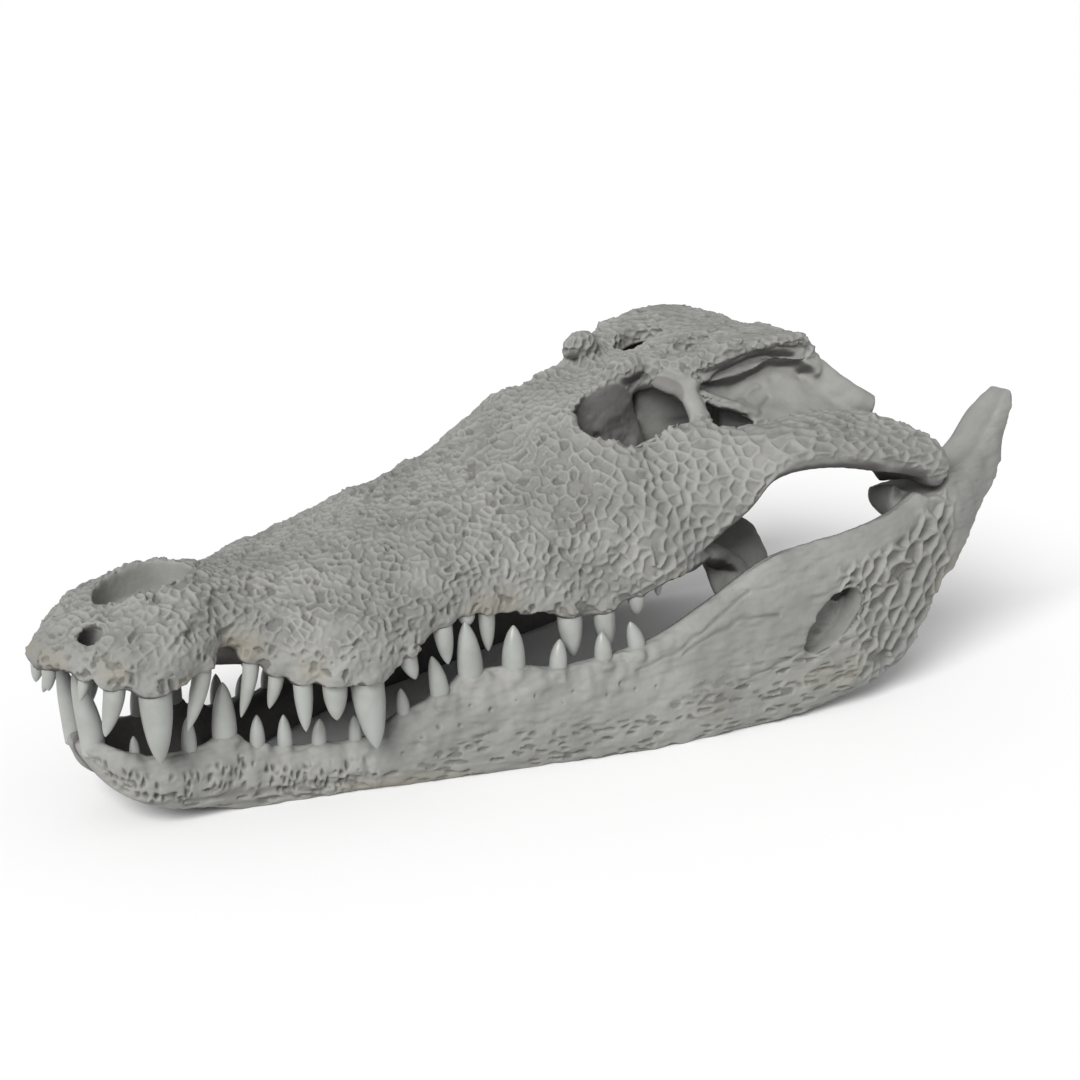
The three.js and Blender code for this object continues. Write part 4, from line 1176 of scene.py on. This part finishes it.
# %% Carving a lower jaw
def carve_jaw(k):
    outer = ease(k.out, 0.15, 0.55)
    top, foot = jaw_top(k.s), jaw_foot(k.s)
    below_top = top - k.z
    rise = (k.z - foot) / (top - foot)
    slope = 0.28 * np.maximum(0.15 - k.z, 0)
    honey = outer * ease(k.s - slope, 0.905, 0.935) * (1 - ease(k.s, 1.1, 1.13))
    margin = 0.026 - 0.02 * ease(k.s, 1.02, 1.08)
    honey *= ease(rise, 0.02, 0.12) * ease(below_top, margin, 0.042)
    rough = outer * (1 - honey) * (1 - ease(rise, 0.32, 0.62)) * (1 - ease(k.s, 1.0, 1.08))
    k.push(jaw_relief(k, outer, honey, below_top, rise))
    k.refresh()

    front = outer * (1 - ease(k.s, 0.3, 0.36))
    front *= ease(below_top, 0.012, 0.022) * (1 - ease(below_top, 0.045, 0.06))
    dig = jaw_honeycomb(k, honey) + jaw_streaks(k, rough) + chin_holes(k, front)
    grain = 0.7 * lumps(k.co * (0.3, 1, 1), 3.4, 36) + 0.4 * lumps(k.co * (0.25, 1, 1), 1.9, 38)
    k.push(-dig + 0.14 * lumps(k.co, 3.0, 35) + outer * grain)

    # Shade is painted onto the inner faces, the saucer of the joint and the top of the chin.
    inner = 0.8 * (1 - ease(k.out, -0.4, 0.1)) * (1 - ease(k.s, 1.0, 1.05))
    joint = 0.6 * np.exp(-(((k.s - 1.088) / 0.05) ** 2) - ((k.z - 0.24) / 0.03) ** 2)
    joint *= (k.a < 0.235) * ease(k.up, 0.0, 0.4)
    width = jaw_width(k.s)
    trough = 0.5 * (1 - ease(k.a, width * 0.5, width * 0.75)) * ease(k.up, 0.2, 0.6)
    trough *= 1 - ease(k.s, 0.22, 0.28)
    k.painted_shadow = np.maximum.reduce([inner, joint, trough])
    low = outer * (1 - ease(rise, 0.1, 0.4))
    k.stain = 0.5 * low * ease(lumps(k.co, 30, 37), 0.0, 0.6)
    k.refresh()


# %% Tooth pores
def pores(k, side, row, root, reach, seed):
    """A line of nerve holes beside the teeth; reach is how far past the margin it runs."""
    rng = np.random.default_rng(seed)
    spots, radii, depths = [], [], []
    for s, _, radius, *_ in row:
        for shift in (-0.5, 0.5):
            y, z = root(s, radius)
            at = s + shift * 0.022 + rng.uniform(-0.004, 0.004)
            spots.append(k.at(at, (y + radius + 0.01) * side, z + reach * rng.uniform(0.8, 1.5)))
            radii.append(rng.uniform(0.8, 1.3))
            depths.append(rng.uniform(1.0, 1.8))
    dents(k, spots, radii, depths)


# %% Carve them all
carving = Skin(skull, SKULL)
carve_skull(carving)
for side in SIDES:
    pores(carving, side, UPPER_TEETH, upper_root, 0.022, 5 + side)
# Two upper teeth of each side are lost, and their sockets stay open.
empty = [(0.506, *upper_root(0.506, 0.01)), (0.539, *upper_root(0.539, 0.01))]
for side in SIDES:
    dents(carving, [carving.at(s, y * side, z) for s, y, z in empty], [4.2, 4.6], [6, 6.5], 1.0)
jaw_carving = {side: Skin(jaws[side], JAW) for side in SIDES}
for side in SIDES:
    carve_jaw(jaw_carving[side])
    pores(jaw_carving[side], side, LOWER_TEETH, lower_root, -0.03, 15 + side)

# %% [markdown]
# ## Teeth
# A crocodile's tooth is a stout, slightly curved cone in a socket of its own. Old teeth are tall and
# blunt, new ones only just show, and some are missing.

# %% One tooth
TOOTH_SHAPE = (
    (-0.25, 0.9), (-0.05, 1.0), (0.1, 1.02), (0.3, 0.98), (0.5, 0.87), (0.7, 0.68), (0.85, 0.45),
    (0.95, 0.22), (1.0, 0.04),
)
TOOTH_RINGS = 29
TOOTH_CORNERS = 20
TOOTH_OVAL = 0.92


def tooth(s, y, z, length, radius, lean, up, place, side):
    rings = []
    for share, girth in rounded(TOOTH_SHAPE, TOOTH_RINGS, closed=False):
        bow = max(share, 0) ** 1.4
        ring = []
        for i in range(TOOTH_CORNERS):
            t = i / TOOTH_CORNERS * math.tau
            ring.append((
                s + lean[0] * bow + radius * girth * math.cos(t),
                y + lean[1] * bow + radius * girth * TOOTH_OVAL * math.sin(t),
                z + up * length * share,
            ))
        rings.append(ring)
    return loft(rings, place, side)


def joined(name, pieces):
    bm = bmesh.new()
    for piece in pieces:
        bm.from_mesh(piece.data)
        bpy.data.objects.remove(piece)
    made = as_object(name, bm)
    for face in made.data.polygons:
        face.use_smooth = True
    return made


def upper_teeth(side, name):
    made = []
    for s, length, radius, back, out in UPPER_TEETH:
        y, z = upper_root(s, radius)
        made.append(tooth(s, y, z - 0.002, length, radius, (back, out), -1, SKULL, side))
    return joined(name, made)


def lower_teeth(side, name):
    made = []
    for s, length, radius, back, out in LOWER_TEETH:
        y, z = lower_root(s, radius)
        made.append(tooth(s, y, z + 0.002, length, radius, (back, out), 1, JAW, side))
    return joined(name, made)


teeth = {
    "upper_teeth_left": upper_teeth(-1, "upper_teeth_left"),
    "upper_teeth_right": upper_teeth(1, "upper_teeth_right"),
    "lower_teeth_left": lower_teeth(-1, "lower_teeth_left"),
    "lower_teeth_right": lower_teeth(1, "lower_teeth_right"),
}

# %% [markdown]
# ## Parting the bone into pieces
# The carved skull is one skin. It is cut by flat planes into pieces of a handy size, each closed
# where it was cut, and each keeps the normals of the whole skin so that no cut shows.


# %% Cutting into pieces
def keep_inside(skin):
    skin.co = np.clip(skin.co, np.array(cad_low), np.array(cad_high))
    skin.refresh()


def store(skin):
    """Writes what the materials read onto the mesh."""
    mesh = skin.piece.data
    for name, values in (("pit_shade", skin.pit_shade), ("stain", skin.stain), ("painted_shadow", skin.painted_shadow)):
        layer = mesh.attributes.new(name, "FLOAT", "POINT")
        layer.data.foreach_set("value", values.astype(np.float32))
    layer = mesh.attributes.new("lie", "FLOAT_VECTOR", "POINT")
    layer.data.foreach_set("vector", skin.normal.astype(np.float32).ravel())


def cut_piece(whole, name, planes):
    """The part of whole on the inner side of every plane, each a point and a normal facing out."""
    bm = bmesh.new()
    bm.from_mesh(whole.data)
    for point, normal in planes:
        geom = bm.verts[:] + bm.edges[:] + bm.faces[:]
        cut = bmesh.ops.bisect_plane(bm, geom=geom, plane_co=point, plane_no=normal, clear_outer=True)
        rim = [e for e in cut["geom_cut"] if isinstance(e, bmesh.types.BMEdge)]
        if rim:
            bmesh.ops.triangle_fill(bm, edges=rim, use_beauty=False, normal=normal)
    piece = as_object(name, bm)
    mesh = piece.data
    mesh.polygons.foreach_set("use_smooth", np.ones(len(mesh.polygons), bool))
    normals = np.empty(len(mesh.vertices) * 3, np.float32)
    mesh.attributes["lie"].data.foreach_get("vector", normals)
    mesh.normals_split_custom_set_from_vertices(normals.reshape(-1, 3))
    mesh.attributes.remove(mesh.attributes["lie"])
    mesh.calc_loop_triangles()
    print(name, len(mesh.loop_triangles), "triangles")
    return piece


def flipped(plane):
    return plane[0], -plane[1]


# %% Fit the skins to the frame's box and the floor
keep_inside(carving)
store(carving)
for side in SIDES:
    jaw_carving[side].co[:, 2] = np.maximum(jaw_carving[side].co[:, 2], 0)
    keep_inside(jaw_carving[side])
    store(jaw_carving[side])


# %% Where the pieces part
def across(place, s):
    """A plane square to the base line at a station, facing the rear."""
    return place @ Vector((s, 0, 0)), (place.to_3x3() @ Vector((1, 0, 0))).normalized()


def beside(side, point, slope):
    """A plane that leans on one side of the skull, facing out."""
    s, y, z = point
    normal = SKULL.to_3x3() @ Vector((0, slope[0] * side, slope[1]))
    return SKULL @ Vector((s, y * side, z)), normal.normalized()


middle = {side: beside(side, (0, 0, 0), (1, 0)) for side in SIDES}
cheek_plane = {side: beside(side, (0.8, 0.125, 0.15), (0.942, 0.34)) for side in SIDES}
table_plane = beside(1, (0.8, 0, 0.165), (0, 1))
rear = flipped(across(SKULL, 0.68))
behind_cheeks = [rear, cheek_plane[-1], cheek_plane[1]]
bones = {
    "premaxilla": cut_piece(skull, "premaxilla", [across(SKULL, 0.19)]),
    "maxilla_front": cut_piece(skull, "maxilla_front", [flipped(across(SKULL, 0.19)), across(SKULL, 0.43)]),
    "skull_table": cut_piece(skull, "skull_table", behind_cheeks + [flipped(table_plane)]),
}
for side, word in ((-1, "left"), (1, "right")):
    maxilla = [flipped(across(SKULL, 0.43)), across(SKULL, 0.68), middle[-side]]
    walls = behind_cheeks + [table_plane, middle[-side]]
    jaw_cut = across(JAW, 0.78)
    for name, whole, planes in (
        ("maxilla_" + word, skull, maxilla),
        ("cheek_" + word, skull, [rear, flipped(cheek_plane[side])]),
        ("braincase_" + word, skull, walls),
        ("jaw_front_" + word, jaws[side], [jaw_cut]),
        ("jaw_rear_" + word, jaws[side], [flipped(jaw_cut)]),
    ):
        bones[name] = cut_piece(whole, name, planes)
for used in (skull, jaws[-1], jaws[1]):
    bpy.data.objects.remove(used)

# %% [markdown]
# ## Finishes
# Dry bone is a dull, slightly warm grey with faint brown stains, and painted shade darkens its pits,
# undersides and inner faces. Enamel is paler and glossier.


# %% Material helpers
class Finish:
    """A node material built one node at a time."""

    def __init__(self, name):
        self.material = bpy.data.materials.new(name)
        self.material.use_nodes = True
        self.tree = self.material.node_tree
        self.shader = self.tree.nodes["Principled BSDF"]
        self.place = self.add("ShaderNodeTexCoord").outputs["Object"]

    def add(self, kind, **settings):
        node = self.tree.nodes.new(kind)
        for key, value in settings.items():
            setattr(node, key, value)
        return node

    def link(self, source, target):
        self.tree.links.new(source, target)

    def noise(self, scale, detail=3.0, rough=0.55):
        node = self.add("ShaderNodeTexNoise")
        node.inputs["Scale"].default_value = scale
        node.inputs["Detail"].default_value = detail
        node.inputs["Roughness"].default_value = rough
        self.link(self.place, node.inputs["Vector"])
        return node.outputs["Fac"]

    def attribute(self, name):
        return self.add("ShaderNodeAttribute", attribute_name=name).outputs["Fac"]

    def ranged(self, value, low, high, to_low=0.0, to_high=1.0):
        node = self.add("ShaderNodeMapRange")
        for key, number in zip(("From Min", "From Max", "To Min", "To Max"), (low, high, to_low, to_high)):
            node.inputs[key].default_value = number
        self.link(value, node.inputs["Value"])
        return node.outputs["Result"]

    def mixed(self, share, first, second):
        node = self.add("ShaderNodeMix", data_type="RGBA")
        for socket, value in ((node.inputs[0], share), (node.inputs[6], first), (node.inputs[7], second)):
            if isinstance(value, bpy.types.NodeSocket):
                self.link(value, socket)
            else:
                socket.default_value = value
        return node.outputs[2]

    def bump(self, height, strength, distance, below=None):
        node = self.add("ShaderNodeBump")
        node.inputs["Strength"].default_value = strength
        node.inputs["Distance"].default_value = distance
        self.link(height, node.inputs["Height"])
        if below is not None:
            self.link(below, node.inputs["Normal"])
        return node.outputs["Normal"]


# %% Bone
BONE = (0.198, 0.199, 0.189, 1)
BONE_PALE = (0.245, 0.244, 0.23, 1)
# The colour of the painted shade in pits, grooves and holes.
BONE_PIT_SHADE = (0.09, 0.087, 0.08, 1)
BONE_STAIN = (0.218, 0.2, 0.152, 1)
BONE_SHADED = (0.05, 0.044, 0.044, 1)


def bone_finish():
    f = Finish("dry_bone")
    base = f.mixed(f.ranged(f.noise(26), 0.4, 0.62), BONE, BONE_PALE)
    # Painted shade darkens the pits, grooves and holes.
    pitted = f.mixed(f.ranged(f.attribute("pit_shade"), 0.25, 1.0, 0.0, 0.75), base, BONE_PIT_SHADE)
    stained = f.mixed(f.attribute("stain"), pitted, BONE_STAIN)
    # Painted shade darkens the undersides, inner faces, eye sockets and joints.
    shaded = f.mixed(f.attribute("painted_shadow"), stained, BONE_SHADED)
    f.link(shaded, f.shader.inputs["Base Color"])
    f.link(f.ranged(f.noise(300), 0.3, 0.7, 0.6, 0.8), f.shader.inputs["Roughness"])
    f.shader.inputs["Specular IOR Level"].default_value = 0.35
    grain = f.bump(f.noise(420, 4), 0.35, 0.0006)
    f.link(f.bump(f.noise(1500, 2), 0.2, 0.0002, grain), f.shader.inputs["Normal"])
    return f.material


# %% Enamel
ENAMEL = (0.29, 0.298, 0.284, 1)
ENAMEL_WORN = (0.245, 0.25, 0.232, 1)


def enamel_finish():
    f = Finish("enamel")
    base = f.mixed(f.ranged(f.noise(60), 0.4, 0.65), ENAMEL, ENAMEL_WORN)
    f.link(base, f.shader.inputs["Base Color"])
    f.shader.inputs["Roughness"].default_value = 0.38
    f.link(f.bump(f.noise(700, 3), 0.12, 0.0004), f.shader.inputs["Normal"])
    return f.material


# %% Dress the pieces
def stands_for(name):
    """The frame's node that a piece replaces."""
    word = name.split("_")[-1]
    if "jaw" in name or "lower" in name:
        return "jaw_" + word
    if "cheek" in name:
        return word + "_cheek"
    return "braincase" if name == "skull_table" or "braincase" in name else "snout"


bone, enamel = bone_finish(), enamel_finish()
for name, piece in {**bones, **teeth}.items():
    piece.data.materials.clear()
    piece.data.materials.append(bone if name in bones else enamel)
    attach(piece, "root")
    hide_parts(stands_for(name))

# %% [markdown]
# ## The studio
# A broad pale floor and soft light from all round, a little stronger from above and from the side of
# the camera, as on an overcast day.


# %% Floor
PAPER = (0.86, 0.86, 0.86, 1)

bm = bmesh.new()
bmesh.ops.create_grid(bm, x_segments=1, y_segments=1, size=20)
floor = as_object("floor", bm)
paper = bpy.data.materials.new("pale_floor")
paper.use_nodes = True
paper.node_tree.nodes["Principled BSDF"].inputs["Base Color"].default_value = PAPER
paper.node_tree.nodes["Principled BSDF"].inputs["Roughness"].default_value = 0.9
floor.data.materials.append(paper)

# %% Lights
SKY_STRENGTH = 0.5
SUN = {"strength": 3.6, "spread": math.radians(32), "from": Vector((-0.66, -0.42, 0.60))}

sky = bpy.data.worlds.new("overcast")
sky.use_nodes = True
sky.node_tree.nodes["Background"].inputs["Color"].default_value = (1.0, 1.0, 1.0, 1)
sky.node_tree.nodes["Background"].inputs["Strength"].default_value = SKY_STRENGTH
scene.world = sky

window_light = bpy.data.lights.new("window_light", "SUN")
window_light.energy = SUN["strength"]
window_light.angle = SUN["spread"]
lamp = bpy.data.objects.new("window_light", window_light)
lamp.rotation_euler = SUN["from"].to_track_quat("Z", "Y").to_euler()
scene.collection.objects.link(lamp)
scene.view_settings.view_transform = "Standard"
